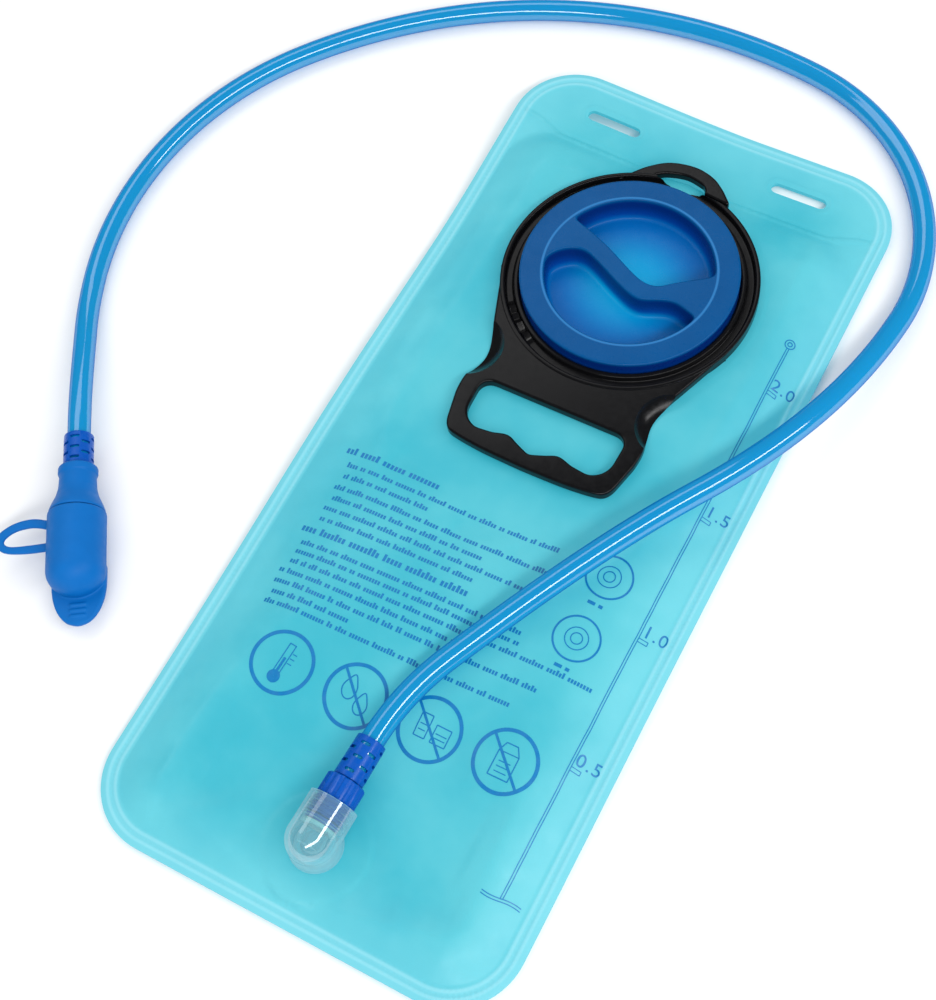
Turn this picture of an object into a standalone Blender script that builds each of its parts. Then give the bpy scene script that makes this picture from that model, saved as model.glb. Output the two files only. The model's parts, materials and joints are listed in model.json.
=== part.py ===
"""A two-litre hydration bladder: a welded film bag with a screw cap and a carrying handle, a screw-in
outlet, a drinking hose, and a bite valve under a dust cover.

The bag lies face up on the floor. +X is the bag's right, +Y runs to its hanging strip, and +Z comes out of
its face. The origin is the middle of the bag's underside. Driving dimensions are in millimetres and degrees,
and add_object turns them into metres.
"""

import math

import bmesh
import bpy
from mathutils import Matrix, Vector
from mathutils.geometry import delaunay_2d_cdt

MM = 0.001
GAP = 0.3  # clearance left between pieces that touch on the real thing

# Bag
BAG_WIDTH = 171
BAG_LENGTH = 380
BAG_CORNER = 28
FILM = 0.8
RIM = 6.5  # width of the welded rim
STRIP_START = 156.5  # the films are welded flat from here to the top edge
RIM_LIFT = 1.2  # height of the welded rim's underside over the floor
CHAMBER_TOP = 12.5
PILLOW_RUN = 40  # distance from the weld at which the face reaches its full height
FACE_SLOPE = 1.8  # steepest rise of the face, next to a moulded fitting
PORT_DISH_SLOPE = 0.08  # rise of the pressed film away from a fitting's seat
OUTLET_DISH_SLOPE = 0.09
SLOT_CENTRES = ((-42.8, 171), (42.8, 171))
SLOT_LENGTH = 24.5
SLOT_WIDTH = 5

# Filling port and cap
PORT = (0, 97.3)
PORT_FILM_TOP = 9.5
PORT_FLAT = 55.5
HANDLE_PRESS_END = 42  # the handle presses the film flat as far as one port radius below here
PORT_FLANGE = 55
FLANGE_THICK = 1.5
NECK_BORE = 37
NECK_OUTER = 39.5
NECK_TOP = 17
NECK_CREST = 41.2
CAP_LEAD = 4
CAP_TURNS = 0.95
NECK_THREAD_START = 12.2
CAP_OUTER = 44.4
CAP_WALL = 42.3
CAP_CREST = 40
CAP_TOP = 20.5
CAP_SKIRT_END = 11.8
BOWL_FLOOR = 9.5

# Handle ring
RING_BOTTOM = 9.9
RING_TOP = 15.3
RING_OUTER = 52.5
RING_COLLAR_TOP = 15.1
RING_GROOVE_FLOOR = 12.6
HANDLE_BOTTOM = 10.2
HANDLE_TOP = 14.8

# Outlet, whose own axis runs level from its dome towards the hose
OUTLET = (2, -160, 15.8)
OUTLET_TURN = 2  # degrees clockwise from +Y
OUTLET_FILM_TOP = 6
OUTLET_FLAT = 21
OUTLET_FLANGE = 19.5
SOCKET_OUTER = 9.5
SOCKET_MOUTH = 14.8
SOCKET_WALL = 8.2
SOCKET_CREST = 7.35
NUT_LEAD = 2.4
NUT_ROOT = 6.9
NUT_CREST = 7.85
NUT_BORE = 4.7
NUT_START = 8
NUT_END = 23.5
NUT_RIBS = 14

# Hose
HOSE_OUTER = 4.6
HOSE_BORE = 3.1
HOSE_START = 26  # from the outlet's dome along the outlet axis
HOSE_RUNS = (  # length and turn of each bend, to the left when positive
    (14, 0),
    (41, -24),
    (111, -5.5),
    (119, 26.5),
    (144, 85.5),
    (239, 62),
    (176, 70),
    (49, 0.5),
    (16, 0),
)
HOSE_CREST = 24.2  # height of the hose where it bridges the bag
CREST_STATION = 146
FLOOR_STATION = 325
HOSE_JOINTS = ((291, 40), (455, 45), (750, 30))  # station and largest bend of each flexing place

# Bite valve, whose own axis runs level from the hose's last straight run
VALVE_HEIGHT = 11.6
VALVE_ENTRY = 14  # hose length inside the valve's frame
COVER_OUTER = 11.5
COVER_INNER = 10.2
COVER_MOUTH = 38
COVER_END = 72
CAVITY_END = 68
TONGUE_END = 83


def clear_scene():
    for old in list(bpy.data.objects):
        bpy.data.objects.remove(old, do_unlink=True)


def make_material(name, colour, roughness, metallic=0.0, alpha=1.0):
    material = bpy.data.materials.new(name)
    material.use_nodes = True
    shader = material.node_tree.nodes["Principled BSDF"]
    shader.inputs["Base Color"].default_value = (*colour, 1)
    shader.inputs["Roughness"].default_value = roughness
    shader.inputs["Metallic"].default_value = metallic
    shader.inputs["Alpha"].default_value = alpha
    return material


def add_object(name, shape, material, parent=None, origin=(0, 0, 0), sharp=35):
    """Makes an object from (vertices, faces) in millimetres, with its origin at the given point."""
    vertices, faces = shape
    offset = Vector(origin)
    mesh = bpy.data.meshes.new(name)
    mesh.from_pydata([(Vector(v) - offset) * MM for v in vertices], [], faces)
    work = bmesh.new()
    work.from_mesh(mesh)
    bmesh.ops.recalc_face_normals(work, faces=work.faces)
    work.to_mesh(mesh)
    work.free()
    mesh.shade_smooth()
    mesh.set_sharp_from_angle(angle=math.radians(sharp))
    mesh.materials.append(material)
    obj = bpy.data.objects.new(name, mesh)
    bpy.context.scene.collection.objects.link(obj)
    obj.parent = parent
    obj.location = offset * MM
    return obj


def add_axis(name, centre, rotation):
    """An empty whose local Z is the axis of the pieces parented to it."""
    empty = bpy.data.objects.new(name, None)
    empty.location = Vector(centre) * MM
    empty.rotation_euler = rotation
    bpy.context.scene.collection.objects.link(empty)
    return empty


def combine(target, tool, operation):
    """Joins or cuts with a Boolean whose tool stays hidden in the file."""
    tool.hide_render = True
    tool.display_type = "WIRE"
    modifier = target.modifiers.new(f"{operation.lower()}_{tool.name}", "BOOLEAN")
    modifier.operation = operation
    modifier.object = tool
    modifier.solver = "EXACT"


# Outlines


def arc(centre, radius, start, end, steps):
    """Points on a circle from one angle to another, in degrees."""
    points = []
    for i in range(steps + 1):
        angle = math.radians(start + (end - start) * i / steps)
        points.append((centre[0] + radius * math.cos(angle), centre[1] + radius * math.sin(angle)))
    return points


def circle(centre, radius, steps):
    return arc(centre, radius, 0, 360, steps)[:-1]


def spline(points, steps=4):
    """A smooth line through the points (Catmull-Rom)."""
    ends = [points[0]] + list(points) + [points[-1]]
    line = []
    for a, b, c, d in zip(ends, ends[1:], ends[2:], ends[3:]):
        for i in range(steps):
            t = i / steps
            line.append(
                tuple(
                    b[k]
                    + t * (c[k] - a[k]) / 2
                    + t * t * (2 * a[k] - 5 * b[k] + 4 * c[k] - d[k]) / 2
                    + t**3 * (3 * b[k] - a[k] - 3 * c[k] + d[k]) / 2
                    for k in (0, 1)
                )
            )
    line.append(tuple(points[-1]))
    return line


def rounded_rectangle(left, right, bottom, top, radius, spacing=15):
    """A closed outline whose straight sides are divided about every spacing."""
    corners = []
    centres = ((right, top, 0), (left, top, 90), (left, bottom, 180), (right, bottom, 270))
    for x, y, start in centres:
        inner = (x - math.copysign(radius, x), y - radius if y == top else y + radius)
        corners.append(arc(inner, radius, start, start + 90, 6))
    outline = []
    for corner, following in zip(corners, corners[1:] + corners[:1]):
        outline += corner
        a, b = Vector(corner[-1]), Vector(following[0])
        count = max(1, round((b - a).length / spacing))
        outline += [tuple(a.lerp(b, i / count)) for i in range(1, count)]
    return outline


def moved(points, centre):
    return [(x + centre[0], y + centre[1]) for x, y in points]


def mirrored(points):
    """The same points at -X, in reverse order."""
    return [(-x, y) for x, y in reversed(points)]


def contains(outline, point):
    inside = False
    x, y = point
    for (x1, y1), (x2, y2) in zip(outline, outline[1:] + outline[:1]):
        if (y1 > y) != (y2 > y) and x < (x2 - x1) * (y - y1) / (y2 - y1) + x1:
            inside = not inside
    return inside


# Solids


def plate(outline, holes, low, high, guides=(), points=()):
    """A solid between two height fields, with holes. Guides are closed loops that its triangles follow."""
    flat = []
    edges = []
    for loop in (outline, *holes, *guides):
        first = len(flat)
        flat += [Vector(p) for p in loop]
        edges += [(first + i, first + (i + 1) % len(loop)) for i in range(len(loop))]
    flat += [Vector(p) for p in points]
    flat, _, triangles, *_ = delaunay_2d_cdt(flat, edges, [], 0, 1e-5)
    kept = []
    for triangle in triangles:
        middle = sum((flat[i] for i in triangle), Vector((0, 0))) / 3
        if contains(outline, middle) and not any(contains(hole, middle) for hole in holes):
            kept.append(tuple(triangle))
    used = sorted({i for triangle in kept for i in triangle})
    place = {old: new for new, old in enumerate(used)}
    count = len(used)
    low_at = low if callable(low) else lambda x, y: low
    high_at = high if callable(high) else lambda x, y: high
    vertices = [(*flat[i], low_at(*flat[i])) for i in used]
    vertices += [(*flat[i], high_at(*flat[i])) for i in used]
    faces = []
    directed = set()
    for triangle in kept:
        a, b, c = (place[i] for i in triangle)
        faces += [(c, b, a), (a + count, b + count, c + count)]
        directed |= {(a, b), (b, c), (c, a)}
    for a, b in sorted(directed):
        if (b, a) not in directed:
            faces.append((a, b, b + count, a + count))
    return vertices, faces


def turned(profile, steps=48):
    """A closed (radius, height) outline turned about Z. Points on the axis become poles."""
    vertices = []
    rows = []
    for radius, height in profile:
        if radius == 0:
            rows.append([len(vertices)] * steps)
            vertices.append((0, 0, height))
            continue
        rows.append(range(len(vertices), len(vertices) + steps))
        vertices += [(x, y, height) for x, y in circle((0, 0), radius, steps)]
    faces = []
    for row, above in zip(rows, rows[1:] + rows[:1]):
        for i in range(steps):
            j = (i + 1) % steps
            corners = list(dict.fromkeys((row[i], row[j], above[j], above[i])))
            if len(corners) > 2:
                faces.append(corners)
    return vertices, faces


def thread(root, crest, lead, turns, start, base, tip, steps=28):
    """A right-handed ridge wound about Z, from its root radius to its crest, with tapered ends."""
    count = round(steps * turns)
    vertices = []
    faces = []
    for i in range(count + 1):
        turn = i / steps
        taper = min(1, 0.3 + 6 * min(turn, turns - turn))
        height = start + lead * turn
        top = root + (crest - root) * taper
        section = ((root, -base / 2), (top, -tip / 2), (top, tip / 2), (root, base / 2))
        for radius, offset in section:
            angle = 2 * math.pi * turn
            vertices.append((radius * math.cos(angle), radius * math.sin(angle), height + offset))
    for i in range(count):
        for j in range(4):
            k = (j + 1) % 4
            faces.append((4 * i + j, 4 * i + k, 4 * i + 4 + k, 4 * i + 4 + j))
    faces += [(3, 2, 1, 0), tuple(range(4 * count, 4 * count + 4))]
    return vertices, faces


def box(width, depth, low, high):
    """A box about Z, width along X and depth along Y."""
    x, y = width / 2, depth / 2
    return plate([(x, y), (-x, y), (-x, -y), (x, -y)], [], low, high)


def turned_about(shape, matrix):
    """The same solid moved by a matrix."""
    vertices, faces = shape
    return [tuple(matrix @ Vector(v)) for v in vertices], faces


def joined(shapes):
    """Separate solids in one mesh, for use as one cutting tool."""
    vertices = []
    faces = []
    for points, polygons in shapes:
        first = len(vertices)
        vertices += points
        faces += [tuple(i + first for i in polygon) for polygon in polygons]
    return vertices, faces


# The bag


def ease(t):
    """Rises from 0 to 1, steep at first."""
    return 1 - (1 - max(0, min(1, t))) ** 2.2


def smooth_step(t):
    t = max(0, min(1, t))
    return t * t * (3 - 2 * t)


def weld_distance(x, y):
    """How far a point lies inside the weld line around the water space, negative outside it."""
    half_width = BAG_WIDTH / 2 - RIM
    bottom = RIM - BAG_LENGTH / 2
    middle = (STRIP_START + bottom) / 2
    half_length = (STRIP_START - bottom) / 2
    corner = BAG_CORNER - RIM
    dx = abs(x) - half_width + corner
    dy = abs(y - middle) - half_length + corner
    return corner - min(max(dx, dy), 0) - math.hypot(max(dx, 0), max(dy, 0))


def plateau(distance, flat, top):
    """A fitting's flat seat, falling away steeply outside it."""
    return top - FACE_SLOPE * max(0, distance - flat)


def face_height(x, y):
    """Height of the front film's outer face."""
    rim_top = RIM_LIFT + 2 * FILM + GAP
    inside = weld_distance(x, y)
    if inside <= 0:
        return rim_top
    port = math.hypot(x - PORT[0], y - PORT[1])
    outlet = math.hypot(x - OUTLET[0], y - OUTLET[1])
    pillow = rim_top + (CHAMBER_TOP - rim_top) * ease(inside / PILLOW_RUN)
    raised = max(
        pillow,
        plateau(port, PORT_FLAT, PORT_FILM_TOP),
        plateau(outlet, OUTLET_FLAT, OUTLET_FILM_TOP),
    )
    pressed = math.hypot(x - PORT[0], y - min(max(y, HANDLE_PRESS_END), PORT[1]))
    port_dish = PORT_FILM_TOP + PORT_DISH_SLOPE * max(0, pressed - PORT_FLAT)
    outlet_dish = OUTLET_FILM_TOP + OUTLET_DISH_SLOPE * max(0, outlet - OUTLET_FLAT)
    return min(raised, port_dish, outlet_dish)


def back_height(x, y):
    """Height of the back film's underside: flat on the floor, lifting to the rim."""
    return RIM_LIFT * (1 - ease(weld_distance(x, y) / 12))


def slot_outline(centre):
    half = (SLOT_LENGTH - SLOT_WIDTH) / 2
    right = arc((centre[0] + half, centre[1]), SLOT_WIDTH / 2, -90, 90, 6)
    left = arc((centre[0] - half, centre[1]), SLOT_WIDTH / 2, 90, 270, 6)
    return right + left


def inset_loop(inset):
    """The weld line moved inwards, clear of the fittings' seats."""
    half = BAG_WIDTH / 2 - RIM - inset
    bottom = RIM - BAG_LENGTH / 2 + inset
    return rounded_rectangle(-half, half, bottom, STRIP_START - inset, max(4, BAG_CORNER - RIM - inset))


def far_from_fittings(point, clearance):
    """True where a point keeps its distance from both fittings' circles."""
    port = math.hypot(point[0] - PORT[0], point[1] - PORT[1])
    outlet = math.hypot(point[0] - OUTLET[0], point[1] - OUTLET[1])
    return port > PORT_FLAT + clearance and outlet > OUTLET_FLAT + clearance


def build_films(film):
    half_width = BAG_WIDTH / 2
    half_length = BAG_LENGTH / 2
    outline = rounded_rectangle(-half_width, half_width, -half_length, half_length, BAG_CORNER)
    slots = [slot_outline(centre) for centre in SLOT_CENTRES]
    weld = inset_loop(0)

    lift_line = inset_loop(12)
    back = plate(
        outline,
        slots,
        back_height,
        lambda x, y: back_height(x, y) + FILM,
        guides=[weld, lift_line],
    )
    add_object("back_film", back, film, sharp=60)

    port_rings = [circle(PORT, PORT_FLAT + step, 44) for step in (0, 3.4)]
    outlet_rings = [circle(OUTLET[:2], OUTLET_FLAT + step, 24) for step in (0, 1.7)]
    scatter = []
    for inset in (4, 12, 24, 38):
        scatter += [p for p in inset_loop(inset) if far_from_fittings(p, 6)]
    front = plate(
        outline,
        [*slots, circle(PORT, NECK_OUTER + 0.5, 48), circle(OUTLET[:2], 7.9, 24)],
        lambda x, y: face_height(x, y) - FILM,
        face_height,
        guides=[weld, *port_rings, *outlet_rings],
        points=scatter,
    )
    add_object("front_film", front, film, sharp=60)


# Filling port, cap and handle


def build_port(moulding):
    flange_top = PORT_FILM_TOP - FILM - GAP
    flange_bottom = flange_top - FLANGE_THICK
    port_axis = add_axis("port_axis", (*PORT, 0), (0, 0, 0))
    profile = [
        (NECK_BORE, NECK_TOP),
        (NECK_OUTER, NECK_TOP),
        (NECK_OUTER, flange_top),
        (PORT_FLANGE, flange_top),
        (PORT_FLANGE, flange_bottom),
        (NECK_BORE, flange_bottom),
    ]
    flange = add_object("port_flange", turned(profile, 48), moulding, port_axis)
    ridge = thread(NECK_OUTER - 0.4, NECK_CREST, CAP_LEAD, CAP_TURNS, NECK_THREAD_START, 1.6, 0.8)
    combine(flange, add_object("neck_thread", ridge, moulding, port_axis), "UNION")
    return port_axis


def grip_outline():
    """The S-shaped grip bar across the cap's bowl, with its ends inside the bowl's wall."""
    end_radius = 35.2
    upper = [(-31, 13.5), (-23, 11), (-12, 6.5), (0.7, 0), (7.5, -2.6), (13.5, -2.2)]
    upper += [(18, 1.5), (25, 6.5), (31, 11.5)]
    lower = [(31, -8.5), (23, -6), (16.5, -7.7), (10, -10.6), (5, -10), (-3, -6.6), (-12, -2), (-20, 1.3)]
    lower += [(-26, 0.2), (-31, -3.5), (-33, -8)]
    right = arc((0, 0), end_radius, 21, -14.5, 6)
    left = arc((0, 0), end_radius, 193.5, 156, 6)
    return spline(upper, 3) + right + spline(lower, 3) + left


def build_cap(cap_plastic, rubber, port_axis):
    gasket = [
        (37.3, NECK_TOP + GAP),
        (39.6, NECK_TOP + GAP),
        (39.6, 18.2),
        (37.3, 18.2),
    ]
    add_object("cap_gasket", turned(gasket, 36), rubber, port_axis)

    plate_underside = 18.5
    shell_profile = [
        (CAP_WALL, CAP_SKIRT_END),
        (CAP_OUTER, CAP_SKIRT_END),
        (CAP_OUTER, CAP_TOP - 0.9),
        (CAP_OUTER - 0.7, CAP_TOP),
        (35.2, CAP_TOP),
        (34.5, CAP_TOP - 0.7),
        (33.6, BOWL_FLOOR + 0.8),
        (32.6, BOWL_FLOOR),
        (0, BOWL_FLOOR),
        (0, BOWL_FLOOR - 1.5),
        (33.6, BOWL_FLOOR - 1.5),
        (35, BOWL_FLOOR - 0.3),
        (36.2, plate_underside),
        (CAP_WALL, plate_underside),
    ]
    shell = add_object("cap_shell", turned(shell_profile, 48), cap_plastic, port_axis)
    grip = plate(grip_outline(), [], BOWL_FLOOR - 0.6, CAP_TOP - 0.3)
    combine(shell, add_object("grip_bar", grip, cap_plastic, port_axis), "UNION")
    ridge_start = NECK_THREAD_START + CAP_LEAD / 2 - GAP
    ridge = thread(CAP_WALL + 0.4, CAP_CREST, CAP_LEAD, 0.9, ridge_start, 1.6, 0.8)
    combine(shell, add_object("cap_thread", ridge, cap_plastic, port_axis), "UNION")


def handle_outline():
    """The carrying handle below the ring: two flaring flanks and a nearly straight lower edge."""
    inner_radius = RING_OUTER - 1
    flank = spline(((41.5, -38.5), (38.3, -47.5), (37.2, -56), (37.7, -62), (39.2, -69), (39, -76)), 3)
    corner = spline(((36.3, -88.5), (34.6, -91.6), (31, -93.4), (18, -94.9), (0, -95.4)), 3)
    right = [(50.2, -15), *flank, *corner]
    back = arc((0, 0), inner_radius, -162, -18, 28)
    return right + mirrored(right)[1:] + back


def hand_hole():
    """The finger opening, with two low bumps on its lower edge."""
    right_top = arc((26.5, -71.2), 5, 90, 0, 4)
    right_low = arc((22.5, -78.5), 8.8, 0, -80, 6)
    bumps = spline(((17, -86.4), (11, -84.8), (6, -86.8), (0, -89.2)), 3)
    right = right_top + right_low + bumps
    return right + mirrored(right)[1:]


def hook_outline():
    """The hanging hook at the ring's top, open at its right end."""
    outer = [(-25.5, 43.6), (-22.3, 48.5), (-17, 54.6), (-9.5, 59.8), (1, 61.8), (10, 59.8), (16.5, 55.3)]
    tip = [(21.2, 50.6), (20.6, 49.6), (9.6, 50.8), (9.5, 52.4)]
    inner = spline(((8, 54.4), (0, 56), (-8, 54.2), (-12.8, 51.4)), 3)
    root = arc((0, 0), RING_OUTER - 1.2, 103.5, 120, 4)
    return spline(outer, 3) + tip + inner + root


def build_handle_ring(black, port_axis):
    profile = [
        (40.2, RING_BOTTOM),
        (40.2, RING_BOTTOM + 1.3),
        (44.9, RING_BOTTOM + 1.3),
        (44.9, RING_COLLAR_TOP),
        (46.9, RING_COLLAR_TOP),
        (47.2, RING_GROOVE_FLOOR),
        (50.2, RING_GROOVE_FLOOR),
        (50.6, RING_TOP),
        (RING_OUTER - 0.5, RING_TOP),
        (RING_OUTER, RING_TOP - 0.5),
        (RING_OUTER, RING_BOTTOM),
    ]
    ring = add_object("handle_ring", turned(profile, 48), black, port_axis)

    notch = [(-12, 50), (-4.8, 49.6), (-2.2, 48), (0, 47.7), (2.2, 48), (4.8, 49.4), (9.5, 49.7)]
    notch += [(22, 47.9), (22, 60), (-12, 60)]
    cutter = plate(notch, [], RING_BOTTOM - 1, RING_TOP + 1)
    combine(ring, add_object("hook_notch", cutter, black, port_axis), "DIFFERENCE")

    hook = add_object("hook", plate(hook_outline(), [], 10.5, 14.5), black, port_axis)
    combine(ring, hook, "UNION")

    handle = add_object(
        "handle", plate(handle_outline(), [hand_hole()], HANDLE_BOTTOM, HANDLE_TOP), black, port_axis
    )
    bevel = handle.modifiers.new("soft_edges", "BEVEL")
    bevel.width = 0.7 * MM
    bevel.segments = 1
    bevel.limit_method = "ANGLE"
    bevel.angle_limit = math.radians(60)
    combine(ring, handle, "UNION")


# Outlet


def build_outlet(film_plastic, clear, blue, rubber):
    """The outlet stands on the bag. Its pieces share one axis, which runs level towards the hose."""
    dome_x, dome_y, dome_z = OUTLET
    stand = add_axis("outlet_stand", (dome_x, dome_y, 0), (0, 0, 0))
    axis = add_axis("outlet_axis", OUTLET, (-math.pi / 2, 0, -math.radians(OUTLET_TURN)))

    flange_top = OUTLET_FILM_TOP - FILM - GAP
    flange = [
        (5.3, flange_top - 1.2),
        (OUTLET_FLANGE, flange_top - 1.2),
        (OUTLET_FLANGE, flange_top),
        (7.5, flange_top),
        (7.5, 9),
        (5.3, 9),
    ]
    add_object("outlet_flange", turned(flange, 32), film_plastic, stand)

    base_radius = SOCKET_OUTER + 0.1
    sphere = [(base_radius * math.sin(a), -base_radius * math.cos(a)) for a in quarter_steps(6)]
    sphere[0] = (0, -base_radius)
    wall = [(SOCKET_OUTER, SOCKET_MOUTH - 0.4), (SOCKET_OUTER - 0.4, SOCKET_MOUTH), (0, SOCKET_MOUTH)]
    elbow = add_object("outlet_elbow", turned(sphere + wall, 28), clear, axis)
    foot_bottom = dome_z - OUTLET_FILM_TOP - GAP
    downwards = Matrix.Rotation(-math.pi / 2, 4, "X")
    foot_radius = base_radius + 0.15
    foot = turned([(0, 0), (foot_radius, 0), (foot_radius, foot_bottom), (0, foot_bottom)], 28)
    combine(elbow, add_object("elbow_foot", turned_about(foot, downwards), clear, axis), "UNION")

    seat = 3.7
    bore = [(0, -3), (4.9, -3), (4.9, seat), (7, seat), (7, 6), (SOCKET_WALL, 6.4)]
    bore += [(SOCKET_WALL, 16), (0, 16)]
    combine(elbow, add_object("socket_bore", turned(bore, 24), clear, axis), "DIFFERENCE")
    well = [(0, 0), (4.5, 0), (4.5, 6.5), (7.8, 6.5), (7.8, 12), (0, 12)]
    well_shape = turned_about(turned(well, 20), downwards)
    combine(elbow, add_object("elbow_well", well_shape, clear, axis), "DIFFERENCE")
    ridge = thread(SOCKET_WALL + 0.3, SOCKET_CREST, NUT_LEAD, 2.6, 7.4, 1.1, 0.5, 16)
    combine(elbow, add_object("socket_thread", ridge, clear, axis), "UNION")

    seal = [(4.9, 4), (6.6, 4), (6.6, 5.3), (4.9, 5.3)]
    add_object("outlet_seal", turned(seal, 24), rubber, axis)

    collar = 5.6
    stem = [
        (2.9, collar),
        (6.6, collar),
        (6.6, 7.6),
        (4.3, 7.6),
        (4.3, HOSE_START - 0.4),
        (2.7, HOSE_START - 0.4),
        (2.7, 30),
        (2.85, 30.2),
        (2.7, 31.6),
        (2.7, 34),
        (2.85, 34.2),
        (2.7, 35.6),
        (2.7, 38),
        (1.7, 38),
        (1.7, HOSE_START - 2),
        (2.9, HOSE_START - 3),
    ]
    add_object("hose_stem", turned(stem, 14), blue, axis)

    grip_start = SOCKET_MOUTH + 0.4
    grip = []
    for i in range(NUT_RIBS):
        for radius, share in ((7.1, 0), (7.1, 0.35), (7.6, 0.5), (7.6, 0.85)):
            angle = 2 * math.pi * (i + share) / NUT_RIBS
            grip.append((radius * math.cos(angle), radius * math.sin(angle)))
    bore_outline = circle((0, 0), NUT_BORE, 20)
    nut = add_object("hose_nut", plate(grip, [bore_outline], grip_start, NUT_END), blue, axis)
    spigot = [
        (NUT_BORE, NUT_START),
        (NUT_ROOT, NUT_START),
        (NUT_ROOT, grip_start + 1),
        (NUT_BORE + 1, grip_start + 1),
        (NUT_BORE + 1, grip_start - 1),
        (NUT_BORE, grip_start - 1),
    ]
    combine(nut, add_object("nut_spigot", turned(spigot, 20), blue, axis), "UNION")
    ridge = thread(NUT_ROOT - 0.3, NUT_CREST, NUT_LEAD, 2, 7.4 + NUT_LEAD * 1.5 - 2.4, 1.1, 0.5, 16)
    combine(nut, add_object("nut_thread", ridge, blue, axis), "UNION")

    build_sleeve("lower_sleeve", NUT_END + GAP, 40.3, 5.95, 5.7, blue, axis)


def quarter_steps(count):
    """Angles from 0 to a right angle, leaving out the last."""
    return [math.pi / 2 * i / count for i in range(count)]


def build_sleeve(name, start, end, radius, end_radius, blue, axis):
    """A strain-relief sleeve on the hose's end, with windows on alternate sides."""
    bore = HOSE_OUTER + GAP
    profile = [(bore, start), (radius, start), (end_radius, end), (bore, end)]
    sleeve = add_object(name, turned(profile, 20), blue, axis)
    rows = 4
    pitch = (end - start) / (rows + 1)
    windows = []
    for row in range(rows):
        middle = start + pitch * (row + 1)
        for side in (0, 180):
            angle = math.radians(side + 90 * (row % 2))
            window = turned_about(
                box(4, 6.5, middle - 0.8, middle + 0.8),
                Matrix.Rotation(angle, 4, "Z") @ Matrix.Translation((bore + 1, 0, 0)),
            )
            windows.append(window)
    combine(sleeve, add_object(f"{name}_windows", joined(windows), blue, axis), "DIFFERENCE")


# Hose


def hose_frame(station):
    """Point and unit direction of the hose's centre line at a distance from its lower end, in plan."""
    turn = math.radians(OUTLET_TURN)
    heading = math.pi / 2 - turn
    x = OUTLET[0] + HOSE_START * math.cos(heading)
    y = OUTLET[1] + HOSE_START * math.sin(heading)
    left = station
    for length, bend in HOSE_RUNS:
        run = min(left, length)
        turned_by = math.radians(bend) * run / length
        chord = run if turned_by == 0 else run * math.sin(turned_by / 2) / (turned_by / 2)
        x += chord * math.cos(heading + turned_by / 2)
        y += chord * math.sin(heading + turned_by / 2)
        heading += turned_by
        left -= run
    return x, y, heading


def hose_total():
    return sum(length for length, _ in HOSE_RUNS)


def hose_height(station):
    """The hose leaves the outlet level, bridges the bag, lies on the floor and rises to the valve."""
    rise = smooth_step((station - 14) / (CREST_STATION - 14))
    fall = smooth_step((station - CREST_STATION) / (FLOOR_STATION - CREST_STATION))
    last = smooth_step((station - hose_total() + 90) / 72)
    height = OUTLET[2] + (HOSE_CREST - OUTLET[2]) * rise
    height += (HOSE_OUTER - HOSE_CREST) * fall
    return height + (VALVE_HEIGHT - HOSE_OUTER) * last


def hose_point(station):
    x, y, _ = hose_frame(station)
    return Vector((x, y, hose_height(station)))


def hose_length(start, end, sides=10):
    """A stretch of hose with its wall, as a closed solid."""
    count = max(2, round((end - start) / 17))
    vertices = []
    for i in range(count + 1):
        station = start + (end - start) * i / count
        centre = hose_point(station)
        along = (hose_point(station + 0.5) - hose_point(station - 0.5)).normalized()
        side = along.cross(Vector((0, 0, 1))).normalized()
        up = side.cross(along)
        for radius in (HOSE_OUTER, HOSE_BORE):
            for x, y in circle((0, 0), radius, sides):
                vertices.append(tuple(centre + side * x + up * y))
    faces = []
    ring = 2 * sides
    for i in range(count):
        for j in range(sides):
            k = (j + 1) % sides
            for offset in (0, sides):
                a, b = i * ring + offset + j, i * ring + offset + k
                faces.append((a, b, b + ring, a + ring))
    for first in (0, count * ring):
        for j in range(sides):
            k = (j + 1) % sides
            faces.append((first + j, first + k, first + sides + k, first + sides + j))
    return vertices, faces


def build_hose(hose_plastic):
    """Four lengths with a clearance between them at the three places where the model lets the hose flex."""
    names = ("hose_outlet_length", "hose_right_length", "hose_left_length", "hose_valve_length")
    starts = [0]
    ends = []
    origins = [hose_point(0)]
    for station, bend in HOSE_JOINTS:
        half_gap = HOSE_OUTER * math.tan(math.radians(bend / 2)) + GAP
        ends.append(station - half_gap)
        starts.append(station + half_gap)
        origins.append(hose_point(station))
    ends.append(hose_total())
    for name, start, end, origin in zip(names, starts, ends, origins):
        add_object(name, hose_length(start, end), hose_plastic, origin=origin)


# Bite valve


def rounded_end(radius, start, end, steps=5):
    """The turned outline of a round closed end, from its full radius to its pole."""
    points = []
    for i in range(steps):
        angle = math.pi / 2 * i / steps
        points.append((radius * math.cos(angle), start + (end - start) * math.sin(angle)))
    return points + [(0, end)]


def tongue_outline():
    """The pull tab at the cover's closed end, seen along the tab's thickness."""
    half = COVER_OUTER - 0.6
    start = 64
    side = [(half, start - 6)]
    for i in range(9):
        share = i / 8
        side.append((half * math.sqrt(1 - share**2.2), start + (TONGUE_END - start) * share))
    return side[:-1] + [(0, TONGUE_END)] + mirrored(side[:-1])


def loop_outline():
    """The finger loop on the cover's side: its outer and inner edges, across and along the valve."""
    root = COVER_OUTER - 0.8
    outer = [(root, 39.6), (17, 37.6), (25, 38.8), (31.4, 43), (32.2, 47.2), (28.5, 51)]
    outer += [(20, 52.3), (root, 52.2)]
    inner = [(root, 43.4), (17, 41.4), (24, 42.2), (28.4, 45), (28.8, 47), (26, 48.7)]
    inner += [(18, 48.9), (root, 48.6)]
    return spline(outer, 3) + spline(inner, 3)[::-1]


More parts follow.
